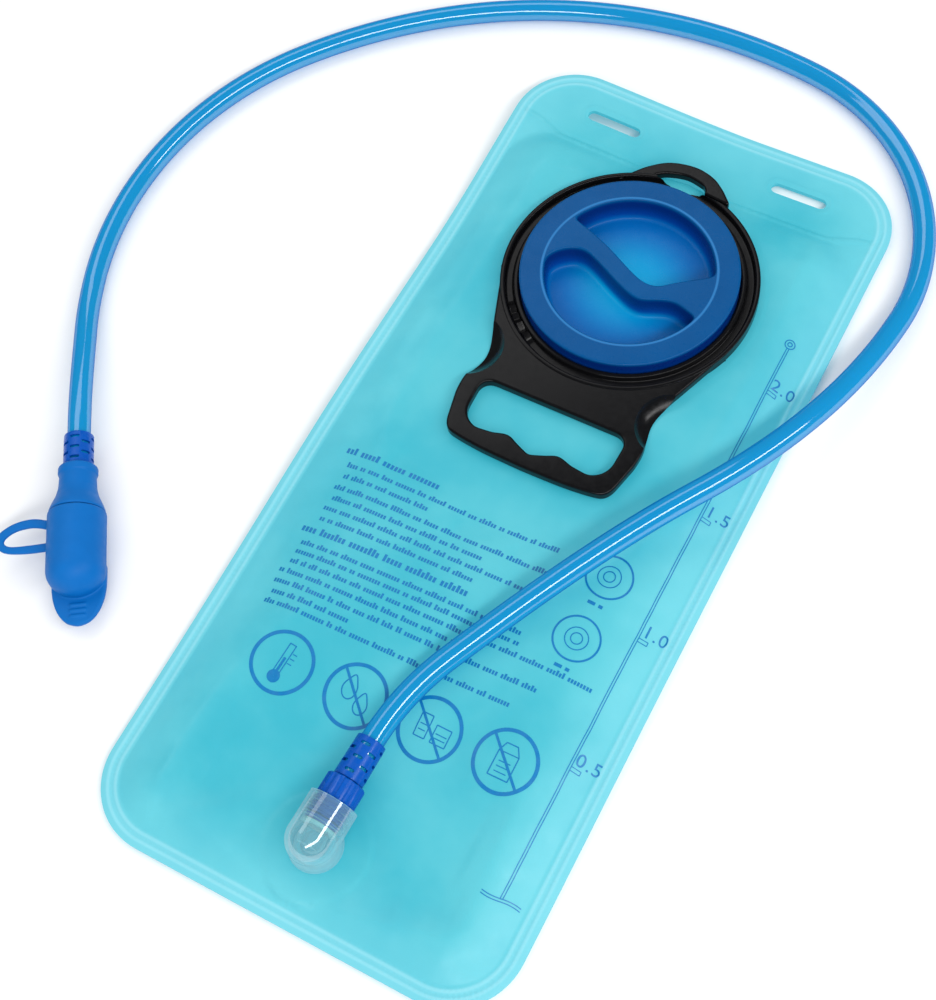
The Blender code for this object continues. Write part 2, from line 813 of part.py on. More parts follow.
def build_valve(soft_blue, blue, rubber):
    total = hose_total()
    x, y, heading = hose_frame(total - VALVE_ENTRY)
    tilt = (-math.pi / 2, 0, heading - math.pi / 2)
    axis = add_axis("valve_axis", (x, y, VALVE_HEIGHT), tilt)

    build_sleeve("upper_sleeve", 3, 17, 5.9, 6, blue, axis)

    body = [
        (1.7, 4),
        (2.7, 4),
        (2.7, 8),
        (2.85, 8.2),
        (2.7, 9.6),
        (2.7, VALVE_ENTRY + 0.6),
        (4.4, VALVE_ENTRY + 0.6),
        (4.4, 17.3),
        (7.4, 17.3),
        (7.85, 17.8),
        (7.85, 20.4),
        (7.5, 21.2),
        (7.6, 27),
        (8.6, 30.5),
        (10.4, 34.5),
        (11, 37.6),
        (5.2, 37.6),
        (5.2, 50),
        (3.4, 50),
        (3.4, 19),
        (1.7, 17),
    ]
    add_object("valve_body", turned(body, 22), soft_blue, axis)

    pin = [(0, 44.5), (1.3, 44.5), (1.3, 57), (1.8, 58.6), (0, 59.4)]
    plug = add_object("valve_plug", turned(pin, 12), blue, axis)
    ring = turned([(2.4, 44), (3.1, 44), (3.1, 47), (2.4, 47)], 16)
    combine(plug, add_object("plug_ring", ring, blue, axis), "UNION")
    for number in range(3):
        spoke = turned_about(
            plate([(0.5, -0.35), (2.7, -0.35), (2.7, 0.35), (0.5, 0.35)], [], 44.8, 46.6),
            Matrix.Rotation(math.radians(120 * number), 4, "Z"),
        )
        combine(plug, add_object(f"plug_spoke_{number}", spoke, blue, axis), "UNION")

    seal = [(5.5, 41), (6.3, 41), (6.3, 42.4), (5.5, 42.4)]
    add_object("tip_seal", turned(seal, 20), rubber, axis)

    tip = [
        (6.6, 39.4),
        (8.8, 39.4),
        (9, 40.6),
        (8.8, 41.8),
        (7.7, 42.6),
        (7.4, 50),
        (7.9, 54),
        (7.6, 57.4),
        (6.4, 59.6),
        (4.6, 60.2),
        (2.3, 60.2),
        (2.3, 57.6),
        (4.4, 55.6),
        (5.9, 53.4),
        (6.6, 51.6),
    ]
    add_object("bite_tip", turned(tip, 20), soft_blue, axis)

    build_cover(soft_blue, axis)


def build_cover(soft_blue, axis):
    """A cup with a pull tongue at its closed end and a finger loop on its side, all one moulding."""
    round_start = 62
    outside = [(0, COVER_MOUTH), (COVER_OUTER - 0.4, COVER_MOUTH), (COVER_OUTER, COVER_MOUTH + 0.8)]
    outside += rounded_end(COVER_OUTER, round_start, COVER_END)
    cover = add_object("dust_cover", turned(outside, 28), soft_blue, axis)
    lay_flat = Matrix.Rotation(math.pi / 2, 4, "X")
    tongue = turned_about(plate(tongue_outline(), [], -6.3, -3.7), lay_flat)
    combine(cover, add_object("pull_tongue", tongue, soft_blue, axis), "UNION")
    loop = turned_about(plate(loop_outline(), [], -0.9, 0.9), lay_flat)
    combine(cover, add_object("finger_loop", loop, soft_blue, axis), "UNION")
    cavity = [(0, COVER_MOUTH - 4), (COVER_INNER, COVER_MOUTH - 4)]
    cavity += rounded_end(COVER_INNER, round_start, CAVITY_END)
    combine(cover, add_object("cover_cavity", turned(cavity, 24), soft_blue, axis), "DIFFERENCE")


def main():
    clear_scene()
    film = make_material("film", (0.10, 0.66, 0.76), 0.35, alpha=0.7)
    moulding = make_material("port_moulding", (0.08, 0.60, 0.72), 0.3)
    cap_plastic = make_material("cap_plastic", (0.0, 0.09, 0.42), 0.3)
    black = make_material("black_plastic", (0.012, 0.012, 0.013), 0.25)
    clear = make_material("clear_plastic", (0.75, 0.88, 0.90), 0.1, alpha=0.4)
    blue = make_material("blue_plastic", (0.0, 0.10, 0.62), 0.3)
    hose_plastic = make_material("hose_plastic", (0.0, 0.28, 0.80), 0.15, alpha=0.7)
    soft_blue = make_material("soft_blue", (0.0, 0.17, 0.62), 0.45)
    rubber = make_material("seal_rubber", (0.8, 0.8, 0.78), 0.6)

    build_films(film)
    port_axis = build_port(moulding)
    build_cap(cap_plastic, rubber, port_axis)
    build_handle_ring(black, port_axis)
    build_outlet(moulding, clear, blue, rubber)
    build_hose(hose_plastic)
    build_valve(soft_blue, blue, rubber)


main()
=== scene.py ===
import json
import math
import random

import bmesh
import bpy
import numpy as np
from mathutils import Matrix, Vector
from mathutils.geometry import delaunay_2d_cdt


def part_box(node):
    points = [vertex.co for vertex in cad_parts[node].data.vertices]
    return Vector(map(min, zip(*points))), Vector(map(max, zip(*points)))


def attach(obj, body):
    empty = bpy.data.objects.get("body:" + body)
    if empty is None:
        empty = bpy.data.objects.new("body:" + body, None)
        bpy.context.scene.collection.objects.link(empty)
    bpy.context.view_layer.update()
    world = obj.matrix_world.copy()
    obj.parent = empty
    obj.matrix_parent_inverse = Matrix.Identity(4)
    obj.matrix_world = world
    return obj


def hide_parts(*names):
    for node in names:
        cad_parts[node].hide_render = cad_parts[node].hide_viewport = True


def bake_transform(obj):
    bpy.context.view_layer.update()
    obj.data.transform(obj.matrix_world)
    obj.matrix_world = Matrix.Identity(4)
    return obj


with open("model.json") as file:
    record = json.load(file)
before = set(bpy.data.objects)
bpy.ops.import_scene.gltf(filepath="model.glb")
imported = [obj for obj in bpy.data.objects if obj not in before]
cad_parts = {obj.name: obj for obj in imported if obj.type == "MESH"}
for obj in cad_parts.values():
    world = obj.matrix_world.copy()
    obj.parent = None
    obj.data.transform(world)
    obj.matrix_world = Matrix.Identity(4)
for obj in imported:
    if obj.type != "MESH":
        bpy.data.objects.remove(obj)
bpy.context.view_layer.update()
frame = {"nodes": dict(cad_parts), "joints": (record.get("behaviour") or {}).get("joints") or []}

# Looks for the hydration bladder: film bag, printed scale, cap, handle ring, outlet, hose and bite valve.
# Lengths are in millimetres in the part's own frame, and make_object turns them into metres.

MM = 0.001

# Bag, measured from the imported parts
film_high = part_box("front_film")[1] / MM
HALF_WIDTH = film_high.x
HALF_LENGTH = film_high.y
CORNER = 28
RIM = 6.5
STRIP_START = 156.5
RIM_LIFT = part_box("front_film")[0].z / MM - 1.1
RIM_TOP = RIM_LIFT + 1.9
CHAMBER_TOP = 12.5
PILLOW_RUN = 40
FILM = 0.45  # thickness of one film inside the rim
RIM_FILM = 0.88
SLOT_HALF = 9.75
SLOT_RADIUS = 2.5
SLOT_CENTRES = ((-42.8, 171), (42.8, 171))

# Port, cap and handle ring
flange_low, flange_high = (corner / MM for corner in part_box("port_flange"))
PORT = ((flange_low.x + flange_high.x) / 2, (flange_low.y + flange_high.y) / 2)
PORT_FILM_TOP = 9.5
PORT_FLAT = 55.5
HANDLE_PRESS_END = 42
CAP_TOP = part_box("cap_shell")[1].z / MM
BOWL_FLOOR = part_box("cap_shell")[0].z / MM + 1.5
BOWL_RADIUS = 34.5
CAP_OUTER = 44.4
RING_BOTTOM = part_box("handle_ring")[0].z / MM
RING_OUTER = 52.5

# Outlet and hose
joints = {joint["name"]: joint for joint in frame["joints"]}
OUTLET = Vector(joints["nut_turn"]["pos_m"]) / MM
OUTLET_AXIS = Vector(joints["nut_turn"]["axis"])
OUTLET_FILM_TOP = 6
OUTLET_FLAT = 21
SOCKET_OUTER = 9.5
SOCKET_MOUTH = 14.8
SOCKET_BORE = 8.2
SEAT = 3.7  # where the stem's collar and the seal rest
THREAD_PITCH = 2.4
NUT_BORE = 4.7
NUT_ROOT = 6.85
NUT_END = 23.5
HOSE_OUTER = 4.6
HOSE_BORE = 3.1
HOSE_START = 26
HOSE_RUNS = (  # length and turn of each bend, to the left when positive
    (14, 0),
    (41, -24),
    (111, -5.5),
    (119, 26.5),
    (144, 85.5),
    (239, 62),
    (176, 70),
    (49, 0.5),
    (16, 0),
)
HOSE_TOTAL = sum(length for length, _ in HOSE_RUNS)
HOSE_CREST = 24.2
CREST_STATION = 146
FLOOR_STATION = 325
FLEX_STATIONS = (291, 455, 750)
FLEX_RUN = 60  # hose length on each side of a joint
HOSE_GAP = 0.6  # least height of the hose over the film
HOSE_PULL = joints["hose_pull"]["range_m"][1] / MM
SEAMS = (370, 600)

# Valve
VALVE_HEIGHT = 11.6
VALVE_ENTRY = 14
COVER_OUTER = 11.5

# Studio
FLOOR_HALF = 30000
FLOOR_LEVEL = -0.3

# Camera, in metres
CAMERA_PLACE = (0.16683, -0.24794, 0.58562)
CAMERA_RIGHT = Vector((0.87765, 0.47161, -0.08548))
CAMERA_UP = Vector((-0.39004, 0.80641, 0.44448))
CAMERA_LENS = 60.459


# Objects and places


def added(name, data):
    obj = bpy.data.objects.new(name, data)
    bpy.context.scene.collection.objects.link(obj)
    return obj


def place_with(x, y, z, origin):
    """A matrix with these three axes and this origin."""
    matrix = Matrix((x, y, z)).transposed().to_4x4()
    matrix.translation = origin
    return matrix


def level_place(along, origin):
    """A place whose Z runs along a level direction and whose Y points down."""
    down = Vector((0, 0, -1))
    return place_with(down.cross(along), down, along, origin)


# Meshes


def shade(mesh, sharp):
    """Smooth shading, broken where faces meet at more than a given angle in degrees."""
    mesh.shade_smooth()
    if sharp:
        mesh.set_sharp_from_angle(angle=math.radians(sharp))


def make_object(name, shape, material, matrix=None, sharp=None):
    """An object in metres from (vertices, faces) in millimetres, its faces turned outwards."""
    vertices, faces = shape
    mesh = bpy.data.meshes.new(name)
    mesh.from_pydata([Vector(v) * MM for v in vertices], [], [tuple(face) for face in faces])
    if matrix:
        placed = matrix.copy()
        placed.translation *= MM
        mesh.transform(placed)
    work = bmesh.new()
    work.from_mesh(mesh)
    bmesh.ops.recalc_face_normals(work, faces=work.faces)
    work.to_mesh(mesh)
    work.free()
    shade(mesh, sharp)
    mesh.materials.append(material)
    return added(name, mesh)


def combine(target, tool, operation):
    modifier = target.modifiers.new(operation, "BOOLEAN")
    modifier.operation = operation
    modifier.object = tool
    modifier.solver = "EXACT"


def bake(obj, tools=(), sharp=None):
    """Applies an object's modifiers and removes its tools."""
    depsgraph = bpy.context.evaluated_depsgraph_get()
    mesh = bpy.data.meshes.new_from_object(obj.evaluated_get(depsgraph), depsgraph=depsgraph)
    obj.modifiers.clear()
    obj.data = mesh
    for tool in tools:
        bpy.data.objects.remove(tool, do_unlink=True)
    shade(mesh, sharp)
    return obj


def carved(name, shape, material, matrix, steps, sharp=None):
    """An object that other shapes are joined to or cut from in turn: (operation, shape, matrix) for each."""
    obj = make_object(name, shape, material, matrix)
    tools = []
    for operation, tool_shape, tool_matrix in steps:
        tools.append(make_object(f"{name}_tool", tool_shape, material, tool_matrix))
        combine(obj, tools[-1], operation)
    return bake(obj, tools, sharp)


def stands_for(piece, body, node):
    """The piece rides on a body and replaces a CAD node, which it hides."""
    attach(piece, body)
    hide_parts(node)


def even_shading(obj):
    """Lets the large faces decide the shading of the edges that smooth ones share with them."""
    modifier = obj.modifiers.new("even_shading", "WEIGHTED_NORMAL")
    modifier.keep_sharp = True


def joined(shapes):
    vertices = []
    faces = []
    for points, polygons in shapes:
        first = len(vertices)
        vertices += [tuple(point) for point in points]
        faces += [tuple(i + first for i in polygon) for polygon in polygons]
    return vertices, faces


def moved(shape, matrix):
    vertices, faces = shape
    return [tuple(matrix @ Vector(v)) for v in vertices], faces


def turned(profile, steps=96, ripple=None):
    """A closed (radius, height) outline turned about Z. Ripple may move each point of a ring."""
    vertices = []
    rows = []
    for radius, height in profile:
        if radius == 0:
            rows.append([len(vertices)] * steps)
            vertices.append((0, 0, height))
            continue
        rows.append(range(len(vertices), len(vertices) + steps))
        for i in range(steps):
            angle = 2 * math.pi * i / steps
            r, z = ripple(radius, height, angle) if ripple else (radius, height)
            vertices.append((r * math.cos(angle), r * math.sin(angle), z))
    faces = []
    for row, above in zip(rows, rows[1:] + rows[:1]):
        for i in range(steps):
            j = (i + 1) % steps
            corners = list(dict.fromkeys((row[i], row[j], above[j], above[i])))
            if len(corners) > 2:
                faces.append(corners)
    return vertices, faces


def lofted(rows):
    """Quads between closed rows of equal length, with the first and last row left open."""
    count = len(rows[0])
    vertices = [point for row in rows for point in row]
    faces = []
    for r in range(len(rows) - 1):
        for i in range(count):
            j = (i + 1) % count
            faces.append((r * count + i, r * count + j, (r + 1) * count + j, (r + 1) * count + i))
    return vertices, faces


# Outlines


def arc(centre, radius, start, end, steps):
    points = []
    for i in range(steps + 1):
        angle = math.radians(start + (end - start) * i / steps)
        points.append((centre[0] + radius * math.cos(angle), centre[1] + radius * math.sin(angle)))
    return points


def circle(centre, radius, steps):
    return arc(centre, radius, 0, 360, steps)[:-1]


def spline(points, steps=6):
    """A smooth line through the points (Catmull-Rom)."""
    ends = [points[0]] + list(points) + [points[-1]]
    line = []
    for a, b, c, d in zip(ends, ends[1:], ends[2:], ends[3:]):
        for i in range(steps):
            t = i / steps
            line.append(
                tuple(
                    b[k]
                    + t * (c[k] - a[k]) / 2
                    + t * t * (2 * a[k] - 5 * b[k] + 4 * c[k] - d[k]) / 2
                    + t**3 * (3 * b[k] - a[k] - 3 * c[k] + d[k]) / 2
                    for k in (0, 1)
                )
            )
    line.append(tuple(points[-1]))
    return line


def mirrored(points):
    return [(-x, y) for x, y in reversed(points)]


def rounded(points, radius, steps=4):
    """The same outline with each corner replaced by a curve that starts a radius away from it."""
    count = len(points)
    result = []
    for i, point in enumerate(points):
        corner = Vector(point)
        before = Vector(points[i - 1]) - corner
        after = Vector(points[(i + 1) % count]) - corner
        start = corner + before.normalized() * min(radius, before.length * 0.45)
        end = corner + after.normalized() * min(radius, after.length * 0.45)
        for k in range(steps + 1):
            t = k / steps
            result.append(tuple(start * (1 - t) ** 2 + corner * 2 * t * (1 - t) + end * t * t))
    return result


def resampled(loop, spacing):
    """A closed loop with even spacing, counterclockwise."""
    points = np.array(loop, float)
    area = np.sum(points[:, 0] * np.roll(points[:, 1], -1) - points[:, 1] * np.roll(points[:, 0], -1))
    if area < 0:
        points = points[::-1]
    closed = np.vstack([points, points[:1]])
    lengths = np.concatenate([[0], np.cumsum(np.hypot(*np.diff(closed, axis=0).T))])
    count = max(12, round(lengths[-1] / spacing))
    stations = np.arange(count) * lengths[-1] / count
    return np.stack([np.interp(stations, lengths, closed[:, k]) for k in (0, 1)], 1)


def softened(loop, passes):
    """Rounds a loop's corners by averaging each point with its neighbours."""
    for _ in range(passes):
        loop = (np.roll(loop, 1, 0) + 2 * loop + np.roll(loop, -1, 0)) / 4
    return loop


def inset(loop, distance):
    """A counterclockwise loop moved inwards, or outwards when the distance is negative."""
    along = np.roll(loop, -1, 0) - np.roll(loop, 1, 0)
    along /= np.hypot(*along.T)[:, None]
    inward = np.stack([-along[:, 1], along[:, 0]], 1)
    return loop + inward * distance


def contains(outline, points):
    """Which of the points lie inside the outline."""
    inside = np.zeros(len(points), bool)
    x, y = points[:, 0], points[:, 1]
    previous = outline[-1]
    for current in outline:
        x1, y1 = previous
        x2, y2 = current
        crosses = (y1 > y) != (y2 > y)
        slope = (x2 - x1) / (y2 - y1) if y2 != y1 else 0
        inside ^= crosses & (x < slope * (y - y1) + x1)
        previous = current
    return inside


def triangulated(loops, extra=()):
    """Triangles between an outer loop and its holes, through any extra points. Loop points come first."""
    flat = []
    edges = []
    for loop in loops:
        first = len(flat)
        flat += [Vector(map(float, p)) for p in loop]
        edges += [(first + i, first + (i + 1) % len(loop)) for i in range(len(loop))]
    flat += [Vector(map(float, p)) for p in extra]
    flat, _, triangles, *_ = delaunay_2d_cdt(flat, edges, [], 0, 1e-6)
    points = np.array([tuple(p) for p in flat])
    triangles = np.array([tuple(t) for t in triangles])
    middles = points[triangles].mean(1)
    kept = contains(loops[0], middles)
    for hole in loops[1:]:
        kept &= ~contains(hole, middles)
    return points, triangles[kept]


def border(polygons):
    """The edges that only one polygon has, in that polygon's direction."""
    directed = {(p[i], p[(i + 1) % len(p)]) for p in polygons for i in range(len(p))}
    return [(a, b) for a, b in sorted(directed) if (b, a) not in directed]


def slab(outline, holes, low, high, edge, spacing=0.9, soften=2):
    """A plate with rounded edges, from closed outlines."""
    outer = softened(resampled(outline, spacing), soften)
    inner = [softened(resampled(hole, spacing), soften) for hole in holes]
    quarter = [math.pi / 2 * i / 4 for i in range(5)]
    section = [(edge * (1 - math.sin(a)), high - edge * (1 - math.cos(a))) for a in quarter]
    section += [(edge * (1 - math.cos(a)), low + edge * (1 - math.sin(a))) for a in quarter]
    shapes = []
    for loop, sign in [(outer, 1)] + [(hole, -1) for hole in inner]:
        rows = [[(x, y, z) for x, y in inset(loop, sign * off)] for off, z in section]
        shapes.append(lofted(rows))
    caps = [inset(outer, edge)] + [inset(hole, -edge) for hole in inner]
    points, triangles = triangulated(caps)
    for z in (high, low):
        shapes.append(([(x, y, z) for x, y in points], [tuple(t) for t in triangles]))
    return welded(joined(shapes))


def welded(shape, decimals=4):
    """Joins vertices that fall together."""
    vertices, faces = shape
    rounded_points = np.round(np.array(vertices, float), decimals)
    unique, index = np.unique(rounded_points, axis=0, return_inverse=True)
    index = index.reshape(-1)
    clean = []
    for face in faces:
        corners = list(dict.fromkeys(int(index[i]) for i in face))
        if len(corners) > 2:
            clean.append(corners)
    return [tuple(point) for point in unique], clean


# Materials


def linear(red, green, blue):
    """A display colour as the linear values that shaders take."""
    values = [c / 255 for c in (red, green, blue)]
    return tuple(((v + 0.055) / 1.055) ** 2.4 if v > 0.0404 else v / 12.92 for v in values) + (1,)


class Shader:
    """A material's node tree, with short calls for the nodes that this scene uses."""

    def __init__(self, name):
        self.material = bpy.data.materials.new(name)
        self.material.use_nodes = True
        self.tree = self.material.node_tree
        self.surface = self.tree.nodes["Principled BSDF"]
        self.output = self.tree.nodes["Material Output"]
        self.place = self.node("ShaderNodeTexCoord").outputs["Object"]

    def node(self, kind, inputs=None, **settings):
        made = self.tree.nodes.new(kind)
        for key, value in settings.items():
            setattr(made, key, value)
        for key, value in (inputs or {}).items():
            self.put(made.inputs[key], value)
        return made

    def put(self, socket, value):
        if isinstance(value, bpy.types.NodeSocket):
            self.tree.links.new(value, socket)
        else:
            socket.default_value = value

    def set(self, key, value):
        self.put(self.surface.inputs[key], value)

    def noise(self, size, detail=3.0, roughness=0.5):
        """Noise from 0 to 1 whose blotches are about this many millimetres across."""
        inputs = {"Vector": self.place, "Scale": 1 / (size * MM), "Detail": detail, "Roughness": roughness}
        return self.node("ShaderNodeTexNoise", inputs).outputs["Fac"]

    def math(self, operation, a, b=0.0):
        made = self.node("ShaderNodeMath", operation=operation)
        self.put(made.inputs[0], a)
        self.put(made.inputs[1], b)
        return made.outputs[0]

    def remap(self, value, low, high, new_low=0.0, new_high=1.0):
        inputs = {"Value": value, "From Min": low, "From Max": high, "To Min": new_low, "To Max": new_high}
        made = self.node("ShaderNodeMapRange", inputs, interpolation_type="SMOOTHSTEP")
        return made.outputs["Result"]

    def mix(self, factor, a, b):
        made = self.node("ShaderNodeMix", data_type="RGBA")
        self.put(made.inputs["Factor"], factor)
        self.put(made.inputs[6], a)
        self.put(made.inputs[7], b)
        return made.outputs[2]

    def colour(self, share, a, b):
        self.set("Base Color", self.mix(share, a, b))

    def roughness(self, size, low, high):
        """Roughness that drifts between two values over blotches of this many millimetres."""
        self.set("Roughness", self.remap(self.noise(size), 0.3, 0.7, low, high))

    def axis(self, name):
        """X, Y or Z of a surface point, in metres."""
        return self.node("ShaderNodeSeparateXYZ", {"Vector": self.place}).outputs[name]

    def bump(self, height, depth, strength=1.0):
        """Surface relief of this many millimetres."""
        inputs = {"Height": height, "Distance": depth * MM, "Strength": strength}
        self.set("Normal", self.node("ShaderNodeBump", inputs).outputs["Normal"])

    def facing(self, blend=0.5):
        return self.node("ShaderNodeLayerWeight", {"Blend": blend}).outputs["Facing"]

    def see_through(self, share, tint=(1, 1, 1, 1), translucent=0.0, glow=(1, 1, 1, 1)):
        """Lets part of the light straight through, and part of it through as a soft glow."""
        surface = self.surface.outputs[0]
        if translucent:
            back = self.node("ShaderNodeBsdfTranslucent", {"Color": glow}).outputs[0]
            surface = self.blend_shaders(translucent, surface, back)
        clear = self.node("ShaderNodeBsdfTransparent", {"Color": tint}).outputs[0]
        surface = self.blend_shaders(share, surface, clear)
        self.tree.links.new(surface, self.output.inputs["Surface"])

    def varnish(self, roughness, strength=1.0):
        """A hard gloss over the outward faces only, so that inner faces add no highlights of their own."""
        current = self.output.inputs["Surface"].links[0].from_socket
        outward = self.math("SUBTRACT", 1.0, self.node("ShaderNodeNewGeometry").outputs["Backfacing"])
        fresnel = self.node("ShaderNodeFresnel", {"IOR": 1.5}).outputs["Fac"]
        share = self.math("MULTIPLY", self.math("MULTIPLY", fresnel, outward), strength)
        share = self.math("MINIMUM", share, 0.14)
        gloss = self.node("ShaderNodeBsdfAnisotropic", {"Roughness": roughness}).outputs[0]
        self.tree.links.new(self.blend_shaders(share, current, gloss), self.output.inputs["Surface"])

    def inward_distance(self):
        """Distance in metres from the bag's rounded outline."""
        beyond = []
        for axis, half in (("X", HALF_WIDTH), ("Y", HALF_LENGTH)):
            away = self.math("ABSOLUTE", self.axis(axis))
            beyond.append(self.math("SUBTRACT", away, (half - CORNER) * MM))
        inner = self.math("MINIMUM", self.math("MAXIMUM", *beyond), 0.0)
        squares = []
        for value in beyond:
            outside = self.math("MAXIMUM", value, 0.0)
            squares.append(self.math("MULTIPLY", outside, outside))
        outer = self.math("SQRT", self.math("ADD", *squares))
        return self.math("SUBTRACT", CORNER * MM, self.math("ADD", inner, outer))

    def blend_shaders(self, factor, a, b):
        made = self.node("ShaderNodeMixShader")
        self.put(made.inputs[0], factor)
        self.tree.links.new(a, made.inputs[1])
        self.tree.links.new(b, made.inputs[2])
        return made.outputs[0]


def film_material():
    """Satin cyan film, slightly cloudy and lighter towards and over the welded rim, with painted highlight
    lines along its two beads and a painted cyan glow.
    """
    s = Shader("bag_film")
    cloud = s.noise(55, 4, 0.55)
    base = s.mix(s.remap(cloud, 0.3, 0.7), (0.060, 0.38, 0.44, 1), (0.130, 0.48, 0.51, 1))
    inward = s.inward_distance()
    base = s.mix(s.remap(inward, 0.006, 0.034, 0.32, 0), base, linear(150, 214, 218))
    rim = s.remap(inward, 0.005, 0.0075, 1, 0)
    base = s.mix(s.math("MULTIPLY", rim, 0.5), base, linear(150, 205, 210))
    # Painted highlights: near-white lines along the crests of the two welded beads.
    for line in (0.0027, 0.0056):
        away = s.math("ABSOLUTE", s.math("SUBTRACT", inward, line))
        base = s.mix(s.remap(away, 0.0002, 0.0010, 0.25, 0), base, linear(205, 238, 240))
    s.set("Base Color", base)
    # Painted glow: the film gives off a little cyan light of its own, which lifts its shade.
    s.set("Emission Color", (0, 0.78, 1, 1))
    s.set("Emission Strength", 0.22)
    s.roughness(9, 0.30, 0.42)
    grain = s.math("ADD", s.noise(0.9, 2), s.math("MULTIPLY", s.noise(14, 3), 2.5))
    s.bump(grain, 0.05, 0.5)
    s.set("Specular IOR Level", 0.35)
    s.see_through(0.14, linear(120, 235, 245), 0.2, linear(60, 222, 236))
    return s.material


def moulding_material():
    s = Shader("port_moulding")
    s.colour(s.noise(8), linear(60, 200, 215), linear(75, 210, 224))
    s.roughness(3, 0.25, 0.4)
    s.bump(s.noise(0.7, 2), 0.03, 0.4)
    return s.material


def black_material():
    """Glossy black moulding with faint handling marks."""
    s = Shader("black_plastic")
    scuffs = s.noise(2.2, 6, 0.7)
    s.colour(scuffs, linear(9, 9, 10), linear(20, 20, 22))
    s.set("Roughness", s.remap(scuffs, 0.35, 0.75, 0.17, 0.27))
    s.set("Specular IOR Level", 0.22)
    s.bump(s.noise(0.4, 2), 0.006, 0.4)
    return s.material


def cap_material():
    """Translucent deep blue, frosted on top, with painted shade that makes the walls darkest, painted light
    across the thin floors, a painted highlight round the bowl's lip and a painted glow on the floors.
    """
    s = Shader("cap_plastic")
    height = s.axis("Z")
    dx = s.math("SUBTRACT", s.axis("X"), PORT[0] * MM)
    dy = s.math("SUBTRACT", s.axis("Y"), PORT[1] * MM)
    radius = s.math("SQRT", s.math("ADD", s.math("MULTIPLY", dx, dx), s.math("MULTIPLY", dy, dy)))
    # Painted light and shade: the thin floors are painted lightest at their middle, and the walls are painted
    # darker higher up.
    floor = s.mix(s.remap(radius, 0.004, 0.03), linear(0, 142, 188), linear(0, 92, 168))
    wall = s.mix(s.remap(height, 0.011, 0.0175), linear(0, 64, 152), linear(0, 38, 112))
    body = s.mix(s.remap(height, 0.0096, 0.0125), floor, wall)
    top = s.mix(s.noise(18), linear(0, 70, 126), linear(0, 80, 140))
    # Painted highlight: a pale line round the lip of the bowl.
    lip = s.remap(s.math("ABSOLUTE", s.math("SUBTRACT", radius, 0.0354)), 0.0002, 0.0007, 0.5, 0)
    top = s.mix(lip, top, linear(60, 140, 205))
    s.colour(s.remap(height, 0.0185, 0.0203), body, top)
    # Painted glow: the floors give off blue light, most at their middle and lowest parts.
    glow = s.math("MULTIPLY", s.remap(radius, 0.002, 0.033, 1, 0.15), s.remap(height, 0.0096, 0.014, 1, 0.12))
    s.set("Emission Color", (0, 0.40, 0.85, 1))
    s.set("Emission Strength", s.math("MULTIPLY", glow, 0.2))
    s.set("Specular IOR Level", 0.14)
    s.roughness(4, 0.24, 0.36)
    s.bump(s.math("ADD", s.noise(0.8, 2), s.noise(9)), 0.03, 0.5)
    return s.material


def blue_material():
    s = Shader("blue_plastic")
    s.colour(s.noise(5), linear(0, 74, 166), linear(0, 84, 180))
    s.roughness(2, 0.2, 0.34)
    s.bump(s.noise(0.6, 2), 0.03, 0.5)
    s.set("Specular IOR Level", 0.25)
    return s.material


def soft_material():
    """Soft-touch blue rubber with a fine matt grain."""
    s = Shader("soft_blue")
    s.colour(s.noise(7), linear(0, 98, 174), linear(0, 106, 186))
    s.roughness(3, 0.42, 0.55)
    s.bump(s.math("ADD", s.noise(0.35, 2), s.math("MULTIPLY", s.noise(5), 1.5)), 0.04, 0.6)
    s.set("Specular IOR Level", 0.16)
    return s.material


def hose_material():
    """Translucent blue tube with painted light in the middle, painted shade deepening towards its edges, a
    painted blue glow and a hard gloss.
    """
    s = Shader("hose_tube")
    # Painted light and shade: the colour is lighter where the tube faces the camera and darker towards its
    # edges.
    edge = s.remap(s.facing(0.5), 0.25, 0.85)
    light = s.mix(s.noise(30, 2), linear(0, 154, 204), linear(0, 164, 212))
    s.colour(edge, light, linear(0, 104, 182))
    # Painted glow: the tube gives off blue light of its own, most where it faces the camera.
    s.set("Emission Color", (0, 0.52, 0.95, 1))
    s.set("Emission Strength", s.remap(s.facing(0.5), 0.1, 0.9, 0.24, 0.08))
    s.roughness(12, 0.3, 0.4)
    s.set("Specular IOR Level", 0.0)
    share = s.remap(s.facing(0.5), 0.1, 0.8, 0.34, 0.10)
    s.see_through(share, linear(0, 190, 238), 0.2, linear(0, 165, 228))
    s.varnish(0.07, 3.0)
    return s.material


def hose_bore_material():
    """The inside of the tube, which only deepens what is seen through it."""
    s = Shader("hose_bore")
    s.colour(s.noise(20), linear(0, 130, 205), linear(0, 142, 214))
    s.roughness(10, 0.4, 0.5)
    s.set("Specular IOR Level", 0.0)
    s.see_through(0.75, linear(110, 215, 240), 0.3, linear(0, 150, 215))
    return s.material


def clear_material():
    """Clear socket plastic, a little milky."""
    s = Shader("clear_plastic")
    s.colour(s.noise(6), linear(176, 224, 232), linear(206, 238, 242))
    s.roughness(3, 0.05, 0.12)
    s.bump(s.noise(4), 0.05, 0.3)
    s.set("Specular IOR Level", 0.0)
    share = s.remap(s.facing(0.45), 0.1, 0.9, 0.86, 0.42)
    dome = s.remap(s.axis("Y"), OUTLET.y * MM + 0.001, OUTLET.y * MM + 0.008, 0.9, 1)
    share = s.math("MULTIPLY", share, dome)
    s.see_through(share, linear(222, 247, 250), 0.25, linear(196, 236, 242))
    s.varnish(0.05, 3.0)
    return s.material


def rubber_material():
    s = Shader("seal_rubber")
    s.colour(s.noise(4), linear(214, 214, 208), linear(228, 228, 224))
    s.roughness(1.5, 0.5, 0.65)
    s.bump(s.noise(0.5, 2), 0.03, 0.5)
    return s.material


